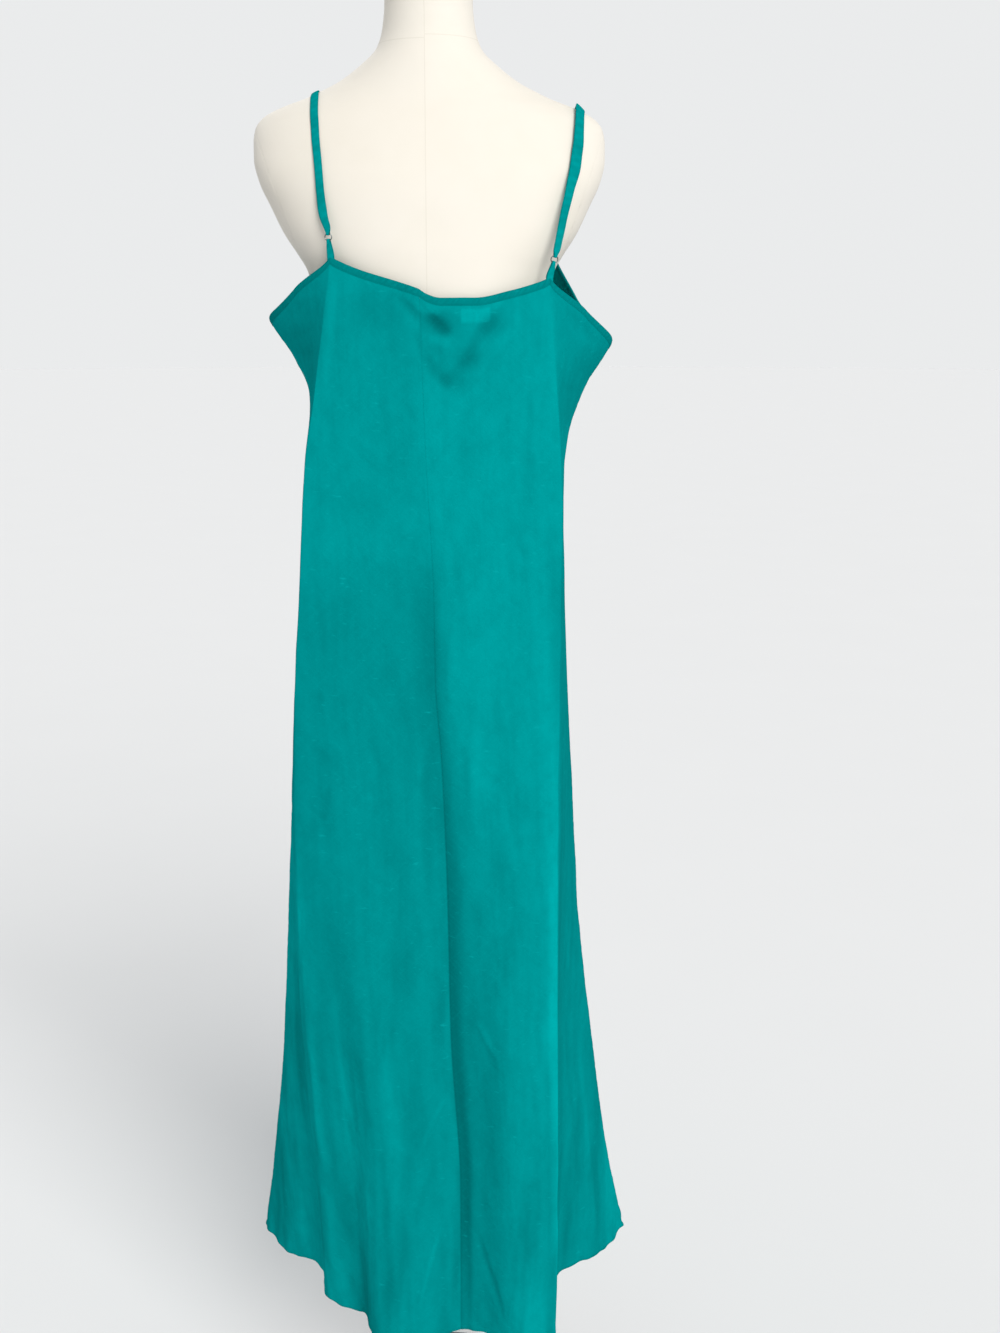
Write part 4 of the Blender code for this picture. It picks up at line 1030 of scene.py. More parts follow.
@dataclass(frozen=True)
class ClothFinish:
    """Bias-cut crepe with a soft sheen: deep and lit teal, the shaded and lit ends that the tone attribute's
    painted shade and light blend between, fine weave at 45 degrees, paper crinkle.
    """

    name: str
    deep: tuple
    lit: tuple
    roughness: float = 0.56
    sheen: float = 0.04
    sheen_roughness: float = 0.42
    sheen_tint: tuple = (0.03, 0.62, 0.58, 1.0)
    crinkle: float = 0.70
    crinkle_height: float = 0.9 * MM
    slub: float = 0.30
    slub_height: float = 0.10 * MM
    weave: float = 0.22
    weave_height: float = 0.06 * MM
    weave_pitch: float = 0.55 * MM
    bias: float = math.radians(45)

    CLOUD = (0.46, 0.92, 0.14)
    MOTTLES = (Streak(34.0, 80.0, 0.44, 0.74, 0.09), Streak(74.0, 30.0, 0.44, 0.74, 0.08))
    STRANDS = (Streak(27.0, 4.5, 0.46, 0.72, 0.52), Streak(62.0, 9.0, 0.46, 0.72, 0.13),
               Streak(110.0, 18.0, 0.46, 0.72, 0.08))
    STRANDS_FADE = (1.30, 0.30)
    FLECKS = Streak(70.0, 210.0, 0.64, 0.78, 0.34)
    SLUBS = (Streak(430.0, 30.0, 0.52, 0.78, 0.07), Streak(26.0, 360.0, 0.52, 0.78, 0.06))

    def material(self) -> bpy.types.Material:
        """Build the material, which reads the tone attribute and the cloth's UV in metres."""
        material, tree, shader = shader_of(
            self.name, self.lit, Roughness=self.roughness, Specular_IOR_Level=0.0, Sheen_Weight=self.sheen,
            Sheen_Roughness=self.sheen_roughness, Sheen_Tint=self.sheen_tint)
        upright = add_node(tree, "UVMap").outputs["UV"]
        mapping = add_node(tree, "Mapping", Rotation=(0.0, 0.0, self.bias))
        tree.links.new(upright, mapping.inputs["Vector"])
        turned = mapping.outputs["Vector"]
        color, slub = self.color(tree, upright, turned)
        tree.links.new(color, shader.inputs["Base Color"])
        tree.links.new(self.relief(tree, upright, turned, slub), shader.inputs["Normal"])
        return material

    def color(self, tree: Tree, upright: Socket, turned: Socket) -> tuple:
        """Colour the cloth by its tone, with clouds, mottle, upright strands, pale flecks and slubs.

        Args:
            tree: the node tree.
            upright: the place on the cloth.
            turned: the same, turned to the bias.

        Returns:
            The colour's socket and the slubs' socket.
        """
        tone = add_node(tree, "Attribute")
        tone.attribute_name = "tone"
        # Painted shade and light: the tone blends the deep and the lit colour.
        base = mix_colors(tree, self.deep, self.lit, tone.outputs["Fac"])
        shade = tuple(0.93 * value for value in self.deep)
        pale = tuple(min(1.0, 1.18 * value + 0.004) for value in self.lit)
        cloud = noise_of(tree, upright, Scale=14.0, Detail=3.0, Roughness=0.6)
        base = mix_colors(tree, base, shade, ramp_of(tree, cloud, *self.CLOUD))
        for look in self.MOTTLES:
            base, _ = self.streak(tree, turned, look, base, shade)
        widest, *finer = self.STRANDS
        lower = ramp_of(tree, axes_of(tree, upright)[1], *self.STRANDS_FADE, widest.most)
        for look in (widest._replace(most=lower), *finer):
            base, _ = self.streak(tree, upright, look, base, shade)
        base, _ = self.streak(tree, upright, self.FLECKS, base, pale)
        for look in self.SLUBS:
            base, slub = self.streak(tree, turned, look, base, pale)
        return base, slub

    def relief(self, tree: Tree, upright: Socket, turned: Socket, slub: Socket) -> Socket:
        """Lay the weave over the slubs over the crinkle.

        Args:
            tree: the node tree.
            upright: the place on the cloth.
            turned: the same, turned to the bias.
            slub: the slubs' socket.

        Returns:
            The normal's socket.
        """
        crinkle = noise_of(tree, upright, Scale=95.0, Detail=3.5, Roughness=0.62, Distortion=0.7)
        coarse = bump_of(tree, crinkle, self.crinkle, self.crinkle_height)
        threads = []
        fineness = 1.0 / self.weave_pitch / math.pi
        for direction in ("X", "Y"):
            wave = add_node(tree, "TexWave", Scale=fineness, Distortion=0.6, Detail=1.0)
            wave.wave_profile = "SIN"
            wave.bands_direction = direction
            tree.links.new(turned, wave.inputs["Vector"])
            threads.append(wave.outputs["Fac"])
        grained = bump_of(tree, slub, self.slub, self.slub_height, coarse)
        return bump_of(tree, math_of(tree, "MULTIPLY", *threads), self.weave, self.weave_height, grained)

    @staticmethod
    def streak(tree: Tree, place: Socket, look: Streak, base: Socket, other: tuple) -> tuple:
        """Blend another colour in along stretched noise.

        Args:
            tree: the node tree.
            place: the place on the cloth in metres, upright or turned to the bias.
            look: the noise.
            base: the colour so far.
            other: the colour that is blended in.

        Returns:
            The new colour's socket and the noise's socket.
        """
        stretched = add_node(tree, "Mapping", Scale=(look.across, look.along, 1.0))
        tree.links.new(place, stretched.inputs["Vector"])
        noise = noise_of(tree, stretched.outputs["Vector"], Scale=1.0, Detail=2.5, Roughness=0.6)
        return mix_colors(tree, base, other, ramp_of(tree, noise, look.low, look.high, look.most)), noise


@dataclass(frozen=True)
class CoverFinish:
    """Cream jersey stretched over the form's shell, with its fine seams."""

    name: str
    color: tuple
    shade: tuple
    roughness: float = 0.86
    specular: float = 0.25
    sheen: float = 0.12
    sheen_roughness: float = 0.6
    pitch: float = 0.9 * MM
    knit: float = 0.22
    knit_height: float = 0.10 * MM
    seam: float = 0.7 * MM
    seam_shade: float = 0.35
    seam_depth: float = 0.15 * MM
    back_seam: float = 4.8 * MM
    side_seam: float = 4.0 * MM
    neck_seam: float = 1.6605
    neck_step: float = 3.5 * MM
    cap: float = 1.7345

    def material(self) -> bpy.types.Material:
        """Build the material, whose seams lie at places of the form."""
        material, tree, shader = shader_of(
            self.name, self.color, Roughness=self.roughness, Specular_IOR_Level=self.specular,
            Sheen_Weight=self.sheen, Sheen_Roughness=self.sheen_roughness)
        place = add_node(tree, "TexCoord").outputs["Object"]
        seams = self.seams(tree, place)
        soil = noise_of(tree, place, Scale=7.0, Detail=4.0, Roughness=0.6)
        base = mix_colors(tree, self.color, self.shade, ramp_of(tree, soil, 0.35, 1.3))
        worn = tuple(0.84 * value for value in self.shade)
        base = mix_colors(tree, base, worn, math_of(tree, "MULTIPLY", seams, self.seam_shade))
        tree.links.new(base, shader.inputs["Base Color"])
        knit = noise_of(tree, place, Scale=1.0 / self.pitch, Detail=1.5, Roughness=0.5)
        groove = bump_of(tree, math_of(tree, "SUBTRACT", 1.0, seams), 0.3, self.seam_depth)
        tree.links.new(bump_of(tree, knit, self.knit, self.knit_height, groove), shader.inputs["Normal"])
        return material

    def seams(self, tree: Tree, place: Socket) -> Socket:
        """Draw the cover's seams: down the back and front, along the shoulders and round the neck.

        Args:
            tree: the node tree.
            place: the place on the form.

        Returns:
            The seams' socket: 1 on a seam and 0 off it.
        """
        x, y, z = axes_of(tree, place)
        behind = math_of(tree, "GREATER_THAN", y, 0.0)
        before = math_of(tree, "LESS_THAN", y, 0.0)
        beside = math_of(tree, "LESS_THAN", x, self.back_seam)
        neck = math_of(tree, "SUBTRACT", z, math_of(tree, "MULTIPLY", beside, self.neck_step))
        seams = math_of(tree, "MULTIPLY", self.line(tree, x, self.back_seam), behind)
        for other in (math_of(tree, "MULTIPLY", self.line(tree, x, 0.0), before),
                      self.line(tree, neck, self.neck_seam), self.line(tree, y, self.side_seam)):
            seams = math_of(tree, "MAXIMUM", seams, other)
        return math_of(tree, "MULTIPLY", seams, math_of(tree, "LESS_THAN", z, self.cap))

    def line(self, tree: Tree, value: Socket, middle: float) -> Socket:
        """Soft line where a value is near its middle: 1 on the line and 0 off it."""
        away = math_of(tree, "ABSOLUTE", math_of(tree, "SUBTRACT", value, middle))
        return ramp_of(tree, away, self.seam, 0.25 * self.seam)


@dataclass(frozen=True)
class MetalFinish:
    """Wire or painted metal with faint wear."""

    name: str
    color: tuple
    worn: tuple
    roughness: float
    metallic: float
    wear: float = 0.12
    wear_depth: float = 0.05 * MM

    def material(self) -> bpy.types.Material:
        """Build the material."""
        material, tree, shader = shader_of(
            self.name, self.color, Roughness=self.roughness, Metallic=self.metallic)
        place = add_node(tree, "TexCoord").outputs["Object"]
        rub = noise_of(tree, place, Scale=60.0, Detail=5.0, Roughness=0.65)
        base = mix_colors(tree, self.color, self.worn, ramp_of(tree, rub, 0.45, 0.9))
        tree.links.new(base, shader.inputs["Base Color"])
        tree.links.new(bump_of(tree, rub, self.wear, self.wear_depth), shader.inputs["Normal"])
        return material


class Slot(Enum):
    """The record's material slots, each with its finish."""

    TEAL_CLOTH = ClothFinish("teal_crepe", (0.0, 0.107, 0.110), (0.0, 0.305, 0.312))
    TEAL_BINDING = ClothFinish("teal_binding_cloth", (0.0, 0.110, 0.112), (0.0, 0.225, 0.228), crinkle=0.3)
    TEAL_STRAP = ClothFinish("teal_rouleau", (0.0, 0.135, 0.137), (0.0, 0.265, 0.268), crinkle=0.3)
    LABEL_TAPE = ClothFinish("blank_tape", (0.08, 0.34, 0.32), (0.14, 0.46, 0.44), crinkle=0.15)
    RING_METAL = MetalFinish("ring_wire", (0.14, 0.16, 0.16), (0.30, 0.33, 0.33), 0.30, 1.0)
    FORM_CLOTH = CoverFinish("form_jersey", (0.70, 0.665, 0.60), (0.63, 0.585, 0.50))
    STAND_METAL = MetalFinish("stand_paint", (0.028, 0.027, 0.026), (0.07, 0.065, 0.06), 0.42, 0.4)

    @property
    def slot(self) -> str:
        """The slot's name in the record."""
        return self.name.lower()

    def dress(self, item: Item) -> None:
        """Give a piece this finish."""
        made = bpy.data.materials.get(self.value.name) or self.value.material()
        item.data.materials.clear()
        item.data.materials.append(made)


# ---- making meshes
def deselect() -> None:
    """Deselect everything."""
    bpy.ops.object.select_all(action="DESELECT")


def activate(item: Item) -> None:
    """Select one object alone and make it active."""
    deselect()
    item.select_set(True)
    bpy.context.view_layer.objects.active = item


def start_editing(select: str) -> Item:
    """Fix a new primitive's place in its mesh and open it in edit mode.

    Args:
        select: SELECT or DESELECT, for all of it.

    Returns:
        The object.
    """
    bpy.ops.object.transform_apply(location=True, rotation=True, scale=True)
    bpy.ops.object.mode_set(mode="EDIT")
    bpy.ops.mesh.select_all(action=select)
    return bpy.context.object


def mesh_object(name: str, points: Array, quads: Array, tone: Array, flat: Array) -> Item:
    """Make a smooth object of quads.

    Args:
        name: the object's name.
        points: vertices.
        quads: four vertex numbers a face.
        tone: a value per vertex, 0 deep to 1 lit.
        flat: UV per vertex, in metres.

    Returns:
        The object, in the scene.
    """
    mesh = bpy.data.meshes.new(name)
    mesh.vertices.add(len(points))
    mesh.vertices.foreach_set("co", np.ascontiguousarray(points, np.float32).ravel())
    mesh.loops.add(len(quads) * 4)
    mesh.loops.foreach_set("vertex_index", np.ascontiguousarray(quads, np.int32).ravel())
    mesh.polygons.add(len(quads))
    mesh.polygons.foreach_set("loop_start", np.arange(0, len(quads) * 4, 4, dtype=np.int32))
    mesh.update(calc_edges=True)
    layer = mesh.attributes.new("tone", "FLOAT", "POINT")
    layer.data.foreach_set("value", np.ascontiguousarray(tone, np.float32))
    uv = mesh.uv_layers.new(name="UVMap")
    uv.data.foreach_set("uv", np.ascontiguousarray(flat[quads.ravel()], np.float32).ravel())
    mesh.validate()
    mesh.shade_smooth()
    mesh.set_sharp_from_angle(angle=math.radians(55))
    item = bpy.data.objects.new(name, mesh)
    bpy.context.scene.collection.objects.link(item)
    return item


def grid_quads(columns: int, rows: int, first: int = 0) -> Array:
    """Faces of a grid of columns x rows vertices that start at a vertex number."""
    corner = (np.arange(columns - 1)[:, None] * rows + np.arange(rows - 1)[None]).ravel() + first
    return np.stack((corner, corner + rows, corner + rows + 1, corner + 1), axis=-1)


def rim_quads(columns: int, rows: int) -> Array:
    """Join the rims of two like grids, the second after the first.

    Args:
        columns: columns of each grid.
        rows: rows of each grid.

    Returns:
        The faces along their tops, feet and both sides.
    """
    skin = columns * rows
    column = np.arange(columns - 1)
    row = np.arange(rows - 1)
    top = np.stack((column * rows, (column + 1) * rows), axis=-1)[:, ::-1]
    foot = top[:, ::-1] + rows - 1
    near = np.stack((row, row + 1), axis=-1)
    far = near[:, ::-1] + (columns - 1) * rows
    rim = np.concatenate((top, foot, near, far))
    return np.stack((rim[:, 0], rim[:, 1], rim[:, 1] + skin, rim[:, 0] + skin), axis=-1)


def shell(name: str, outer: Array, inner: Array, tone: Array, flat: Array) -> Item:
    """Make a closed thin shell from two grids (columns x rows).

    Args:
        name: the object's name.
        outer: points of its outside.
        inner: points of its inside.
        tone: tone at each point of the grid.
        flat: UV of each point of the grid.

    Returns:
        The object.
    """
    columns, rows = outer.shape[:2]
    points = np.concatenate((outer.reshape(-1, 3), inner.reshape(-1, 3)))
    quads = np.concatenate((grid_quads(columns, rows), grid_quads(columns, rows, columns * rows)[:, ::-1],
                            rim_quads(columns, rows)))
    return mesh_object(name, points, quads, np.tile(tone.ravel(), 2), np.tile(flat.reshape(-1, 2), (2, 1)))


def closed_sweep(name: str, rings: Array, tone: Array, flat: Array) -> Item:
    """Make a closed tube from rings of points, its two ends capped.

    Args:
        name: the object's name.
        rings: rings x sides points.
        tone: tone at each point.
        flat: UV of each point.

    Returns:
        The object.
    """
    count, sides = rings.shape[:2]
    ring = np.arange(count - 1)[:, None] * sides
    side = np.arange(sides)[None]
    beside = (side + 1) % sides
    quads = np.stack((ring + side, ring + beside, ring + sides + beside, ring + sides + side), axis=-1)
    caps = []
    for start, turn in ((0, -1), ((count - 1) * sides, 1)):
        for index in range(sides // 2 - 1):
            cap = (index, index + 1, sides - 2 - index, sides - 1 - index)
            caps.append([start + corner for corner in cap[::turn]])
    quads = np.concatenate((quads.reshape(-1, 4), np.array(caps)))
    return mesh_object(name, rings.reshape(-1, 3), quads, tone.ravel(), flat.reshape(-1, 2))


def finish_piece(item: Item, slot: Slot, *nodes: str) -> Item:
    """Dress a piece and let it ride on the one body.

    Args:
        item: the piece.
        slot: its material slot.
        nodes: the CAD nodes that it stands for.

    Returns:
        The piece.
    """
    slot.dress(item)
    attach(item, "root")
    if nodes:
        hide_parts(*nodes)
    LOG.info("built %s: %d faces", item.name, len(item.data.polygons))
    return item


# ---- the dress
@dataclass
class NeckTape:
    """Blank woven tape inside the right back neck."""

    first: float = 11.555
    last: float = 11.735
    top: float = 10.3 * MM
    foot: float = 24.8 * MM
    outside: float = -1.85 * MM
    inside: float = -2.45 * MM
    wave: float = 0.05 * MM
    turned: float = 0.12 * MM
    turned_stations: float = 0.012

    def build(self, relief: Relief) -> Item:
        """Make the tape as a thin shell just inside the cloth, with turned ends.

        Args:
            relief: the dress's creases.

        Returns:
            The tape.
        """
        drape = relief.drape
        stations = np.linspace(self.first, self.last, 28)
        drop = np.linspace(self.top, self.foot, 18)
        z = drape.edge(stations)[:, None] - drop[None]
        station = np.broadcast_to(stations[:, None], z.shape).copy()
        normal = drape.normals(station, z)
        place = drape.points(station, z) + normal * relief.height(station, z)[..., None]
        ends = np.minimum(np.abs(stations - self.first), np.abs(stations - self.last)) < self.turned_stations
        outside = self.outside - self.wave * np.sin(drop / MM * 2.2)[None] + 0.0 * z
        inside = self.inside - self.turned * ends[:, None] + 0.0 * z
        flat = np.stack((drape.arc(station, z), z), axis=-1)
        item = shell("neck_tape", place + normal * outside[..., None], place + normal * inside[..., None],
                     np.full_like(z, 0.7), flat)
        return finish_piece(item, Slot.LABEL_TAPE, "neck_label")


@dataclass
class Panel:
    """A cut panel of the dress between two seams; its grain is straight at a station."""

    node: str
    first: float
    last: float
    columns: int
    rows: int
    grain: float
    flat: tuple
    area: float
    ply: float = 0.7 * MM
    hem_ply: float = 1.2 * MM
    tucked: float = 7.4 * MM
    seam_gap: float = 0.02 * MM

    TOP_ROWS = (0.012, 8)
    HEM_ROWS = (0.009, 13)
    # Darker band at the hem's fold, partly the double ply's own colour and partly painted shade: amount and
    # spread.
    HEM_PLY_AND_PAINTED_SHADE = (0.16, 6.5 * MM)
    HEM_THICK = (2.5 * MM, 4.0 * MM)
    TAPE_SHOWS = 0.26
    TAPE_SOFT = 1.5 * MM
    TAPE_STATION = 0.14

    def heights(self, drape: Drape, stations: Array) -> Array:
        """Space the rows, close together at the binding and the hem.

        Args:
            drape: the dress's surface.
            stations: the columns' stations.

        Returns:
            Heights, as columns x rows.
        """
        top = drape.edge(np.mod(stations, STATIONS)) - self.tucked
        (reach, count), (hem_reach, hem_count) = self.TOP_ROWS, self.HEM_ROWS
        upper = np.linspace(0.0, reach, count)
        lower = np.linspace(hem_reach, 0.0, hem_count)[1:]
        middle = np.linspace(0.0, 1.0, self.rows - len(upper) - len(lower) + 1)[1:]
        total = (top - HEM)[:, None]
        body = reach + (total - reach - hem_reach) * middle[None]
        down = np.concatenate((np.broadcast_to(upper, (len(top), count)), body, total - lower[None]), axis=1)
        return top[:, None] - down

    def tone(self, relief: Relief, station: Array, z: Array) -> Array:
        """Tone the cloth: darker at the hem's fold, partly the double ply's own colour and partly painted
        shade, and lighter where the tape shows through.

        Args:
            relief: the dress's creases.
            station, z: stations and heights of the grid.

        Returns:
            The tone at each point.
        """
        # Darken the hem's fold: partly the double ply's own colour, partly painted shade.
        dark, spread = self.HEM_PLY_AND_PAINTED_SHADE
        tone = relief.tone(station, z) - dark * bump((z - HEM) / spread)
        drop = relief.drape.edge(np.mod(station, STATIONS)) - z
        across = np.maximum(NeckTape.first - station, station - NeckTape.last) * self.TAPE_STATION
        beyond = np.maximum(across, np.maximum(NeckTape.top - drop, drop - NeckTape.foot))
        return tone + self.TAPE_SHOWS * ease(-beyond / self.TAPE_SOFT)

    def build(self, relief: Relief) -> Item:
        """Make the panel as a thin closed shell on the plain drape with its creases.

        Args:
            relief: the dress's creases.

        Returns:
            The panel.
        """
        drape = relief.drape
        stations = drape.even_stations(self.first, self.last, self.columns)
        z = self.heights(drape, stations)
        station = np.broadcast_to(stations[:, None], z.shape).copy()
        surface = np.minimum(station, LAST_STATION)
        outer = drape.points(surface, z) + drape.normals(surface, z) * relief.height(station, z)[..., None]
        outer[..., 2] += relief.drop(station, z)
        draw_in(outer, self.seam_gap)
        middle, half = self.HEM_THICK
        thick = self.ply + (self.hem_ply - self.ply) * bump((z - HEM - middle) / half)
        inner = outer - grid_normals(outer) * thick[..., None]
        grain = drape.arc(np.full_like(station, self.grain), z)
        flat = np.stack((drape.arc(station, z) - grain, z), axis=-1)
        item = shell(self.node + "_cloth", outer, inner, self.tone(relief, station, z), flat)
        return finish_piece(item, Slot.TEAL_CLOTH, self.node)


@dataclass
class Binding:
    """Folded self-fabric strip over the top edge between two stations."""

    node: str
    first: float
    last: float
    columns: int
    pucker: float = 0.085 * MM
    slant: float = 0.9
    seam_gap: float = 0.12 * MM
    tone: float = 0.62

    # Drop below the edge and way out from the cloth, in mm, from the outer foot over the edge to the inner.
    PROFILE = (
        (8.0, 0.00), (7.95, 0.26), (7.35, 0.38), (6.95, 0.20), (6.55, 0.38), (5.2, 0.46), (3.4, 0.52),
        (1.8, 0.47), (0.8, 0.28), (0.2, -0.12), (0.0, -0.75), (0.2, -1.38), (0.8, -1.74), (1.8, -1.90),
        (4.2, -1.92), (7.0, -1.88), (7.8, -1.74), (8.0, -1.50),
    )
    FOLD_OUT = -0.75 * MM
    STITCH_DROP = 6.95 * MM
    STITCH_SHADE = (0.20, 0.5 * MM)
    PUCKER_SHADE = 0.10

    def build(self, drape: Drape) -> Item:
        """Sweep the folded profile along the top edge, with small bias puckers.

        Args:
            drape: the dress's surface.

        Returns:
            The binding.
        """
        stations = drape.even_stations(self.first, self.last, self.columns)
        top = drape.edge(np.mod(stations, STATIONS))
        drop, out = (np.array(column) * MM for column in zip(*self.PROFILE))
        z = top[:, None] - drop[None]
        station = np.broadcast_to(stations[:, None], z.shape).copy()
        point = drape.points(station, z)
        way = run_along(point[:, 0])[:, None]
        slant = way - self.slant * drop[None]
        wave = np.sin(slant * 1150 + 1.4 * np.sin(way * 310)) + 0.7 * np.sin(slant * 790 + way * 95 + 1.1)
        hold = np.sin(np.clip(drop / (7.0 * MM), 0.0, 1.0) * math.pi)[None]
        out = out[None] + self.pucker * wave * hold * np.sign(out - self.FOLD_OUT)[None]
        ring = point + drape.normals(station, z) * out[..., None]
        draw_in(ring, self.seam_gap)
        dark, spread = self.STITCH_SHADE
        tone = self.tone - dark * bump((drop - self.STITCH_DROP) / spread)[None]
        tone = tone + self.PUCKER_SHADE * wave * hold
        flat = np.stack((way + 0 * z, z), axis=-1)
        item = closed_sweep(self.node + "_cloth", ring[:, ::-1], tone[:, ::-1], flat[:, ::-1])
        return finish_piece(item, Slot.TEAL_BINDING, self.node)


@dataclass
class Topstitch:
    """Thread stitches along the bindings' feet, copied from one modelled stitch."""

    pitch: float = 2.3 * MM
    length: float = 1.5 * MM
    radius: float = 0.17 * MM
    taper: float = 0.4
    proud: float = 0.30 * MM
    margin: float = 1.2 * MM
    end_stations: float = 0.02
    samples: int = 900
    wander: float = 0.12
    seed: int = 7
    tone: float = 0.95

    def model(self) -> tuple[Array, Array]:
        """Model one stitch along +X: a short thread that dips at both ends.

        Returns:
            Its points and its quads.
        """
        deselect()
        bpy.ops.mesh.primitive_cylinder_add(vertices=6, radius=self.radius, depth=self.length * 0.5,
                                            end_fill_type="NGON", rotation=(0.0, math.pi / 2, 0.0))
        stitch = start_editing("DESELECT")
        bpy.ops.object.mode_set(mode="OBJECT")
        for side in (1, -1):
            for face in stitch.data.polygons:
                face.select = face.normal.x * side > 0.9
            bpy.ops.object.mode_set(mode="EDIT")
            bpy.ops.mesh.extrude_region_move(
                TRANSFORM_OT_translate={"value": (side * self.length * 0.25, 0.0, -self.radius)})
            bpy.ops.transform.resize(value=(self.taper, self.taper, self.taper))
            bpy.ops.mesh.select_all(action="DESELECT")
            bpy.ops.object.mode_set(mode="OBJECT")
        points = np.array([vertex.co[:] for vertex in stitch.data.vertices])
        quads = []
        caps = []
        for face in (list(polygon.vertices) for polygon in stitch.data.polygons):
            if len(face) == 4:
                quads.append(face)
            else:
                caps += [face[0:4], [face[0], face[3], face[4], face[5]]]
        bpy.data.objects.remove(stitch, do_unlink=True)
        return points, np.array(quads + caps)

    def build(self, drape: Drape, bindings: list[Binding]) -> Item:
        """Lay copies of the stitch along every binding's foot.

        Args:
            drape: the dress's surface.
            bindings: the bindings.

        Returns:
            All the stitches, as one object.
        """
        points, quads = self.model()
        placed = []
        chance = np.random.RandomState(self.seed)
        for binding in bindings:
            ends = binding.first + self.end_stations, binding.last - self.end_stations
            dense = np.linspace(*ends, self.samples)
            z = drape.edge(np.mod(dense, STATIONS)) - Binding.STITCH_DROP
            line = drape.points(dense, z) + drape.normals(dense, z) * self.proud
            way = run_along(line)
            for spot in np.arange(self.margin, way[-1] - self.margin, self.pitch):
                here = np.array([np.interp(spot, way, line[:, axis]) for axis in range(3)])
                index = min(int(np.searchsorted(way, spot)), len(way) - 2)
                along = unit(line[index + 1] - line[index - 1])
                out = drape.normals(dense[index:index + 1], z[index:index + 1])[0]
                side = unit(np.cross(out, along))
                along = unit(along + side * chance.uniform(-self.wander, self.wander))
                placed.append(here + points[:, :1] * along + points[:, 1:2] * side + points[:, 2:] * out)
        everything = np.concatenate(placed)
        starts = np.arange(len(placed))[:, None, None] * len(points)
        item = mesh_object("binding_stitches", everything, (quads[None] + starts).reshape(-1, 4),
                           np.full(len(everything), self.tone), everything[:, :2])
        return finish_piece(item, Slot.TEAL_BINDING)


# ---- the dress form
@dataclass
class FormShape:
    """Surface of the limbless torso, shoulders and neck."""

    bust_x: float = 0.072
    bust_height: float = 1.352
    bust_spread: tuple = (0.050, 0.062)
    bust_reach: float = 0.020
    laying_step: float = 0.5 * MM
    laying_rounds: int = 12

    def level(self, point: Vector) -> float:
        """Tell whether a point is inside the form.

        Args:
            point: the point.

        Returns:
            A value below 1 inside the form and above 1 outside.
        """
        section = row_at(FORM_SECTIONS, np.array(point.z))
        depth = section.back if point.y > 0.0 else section.front
        across = (abs(point.x) / section.half_width) ** section.power
        return float(across + (abs(point.y) / depth) ** section.power)

    def normal(self, point: Vector) -> Vector:
        """Direction straight away from the form near a point."""
        steps = (Vector((MM, 0, 0)), Vector((0, MM, 0)), Vector((0, 0, MM)))
        return Vector([self.level(point + step) - self.level(point - step) for step in steps]).normalized()

    def laid(self, place: Vector) -> Vector:
        """Move a point onto the form's surface, keeping its x.

        Args:
            place: the point.

        Returns:
            The point of the surface.
        """
        for _ in range(self.laying_rounds):
            normal = self.normal(place)
            heading = Vector((0.0, normal.y, normal.z)).normalized()
            step = heading * self.laying_step
            slope = (self.level(place + step) - self.level(place - step)) / (2.0 * self.laying_step)
            place = place - heading * ((self.level(place) - 1.0) / slope)
        return place

    def points(self, angle: Array, z: Array) -> Array:
        """Place points of the surface.

        Args:
            angle: angles round it from +X, +Y being the back.
            z: heights, of the same shape.

        Returns:
            The points.
        """
        section = row_at(FORM_SECTIONS, z)
        across, depth = np.cos(angle), np.sin(angle)
        x = section.half_width * signed_power(across, 2.0 / section.power)
        y = np.where(depth > 0.0, section.back, section.front) * signed_power(depth, 2.0 / section.power)
        reach = np.zeros_like(x)
        for middle in (self.bust_x, -self.bust_x):
            reach += self.bust_reach * np.exp(-(((x - middle) / self.bust_spread[0]) ** 2)
                                              - ((z - self.bust_height) / self.bust_spread[1]) ** 2)
        y = y - np.where(depth < 0.0, reach * np.abs(depth), 0.0)
        return np.stack((x, y, z), axis=-1)


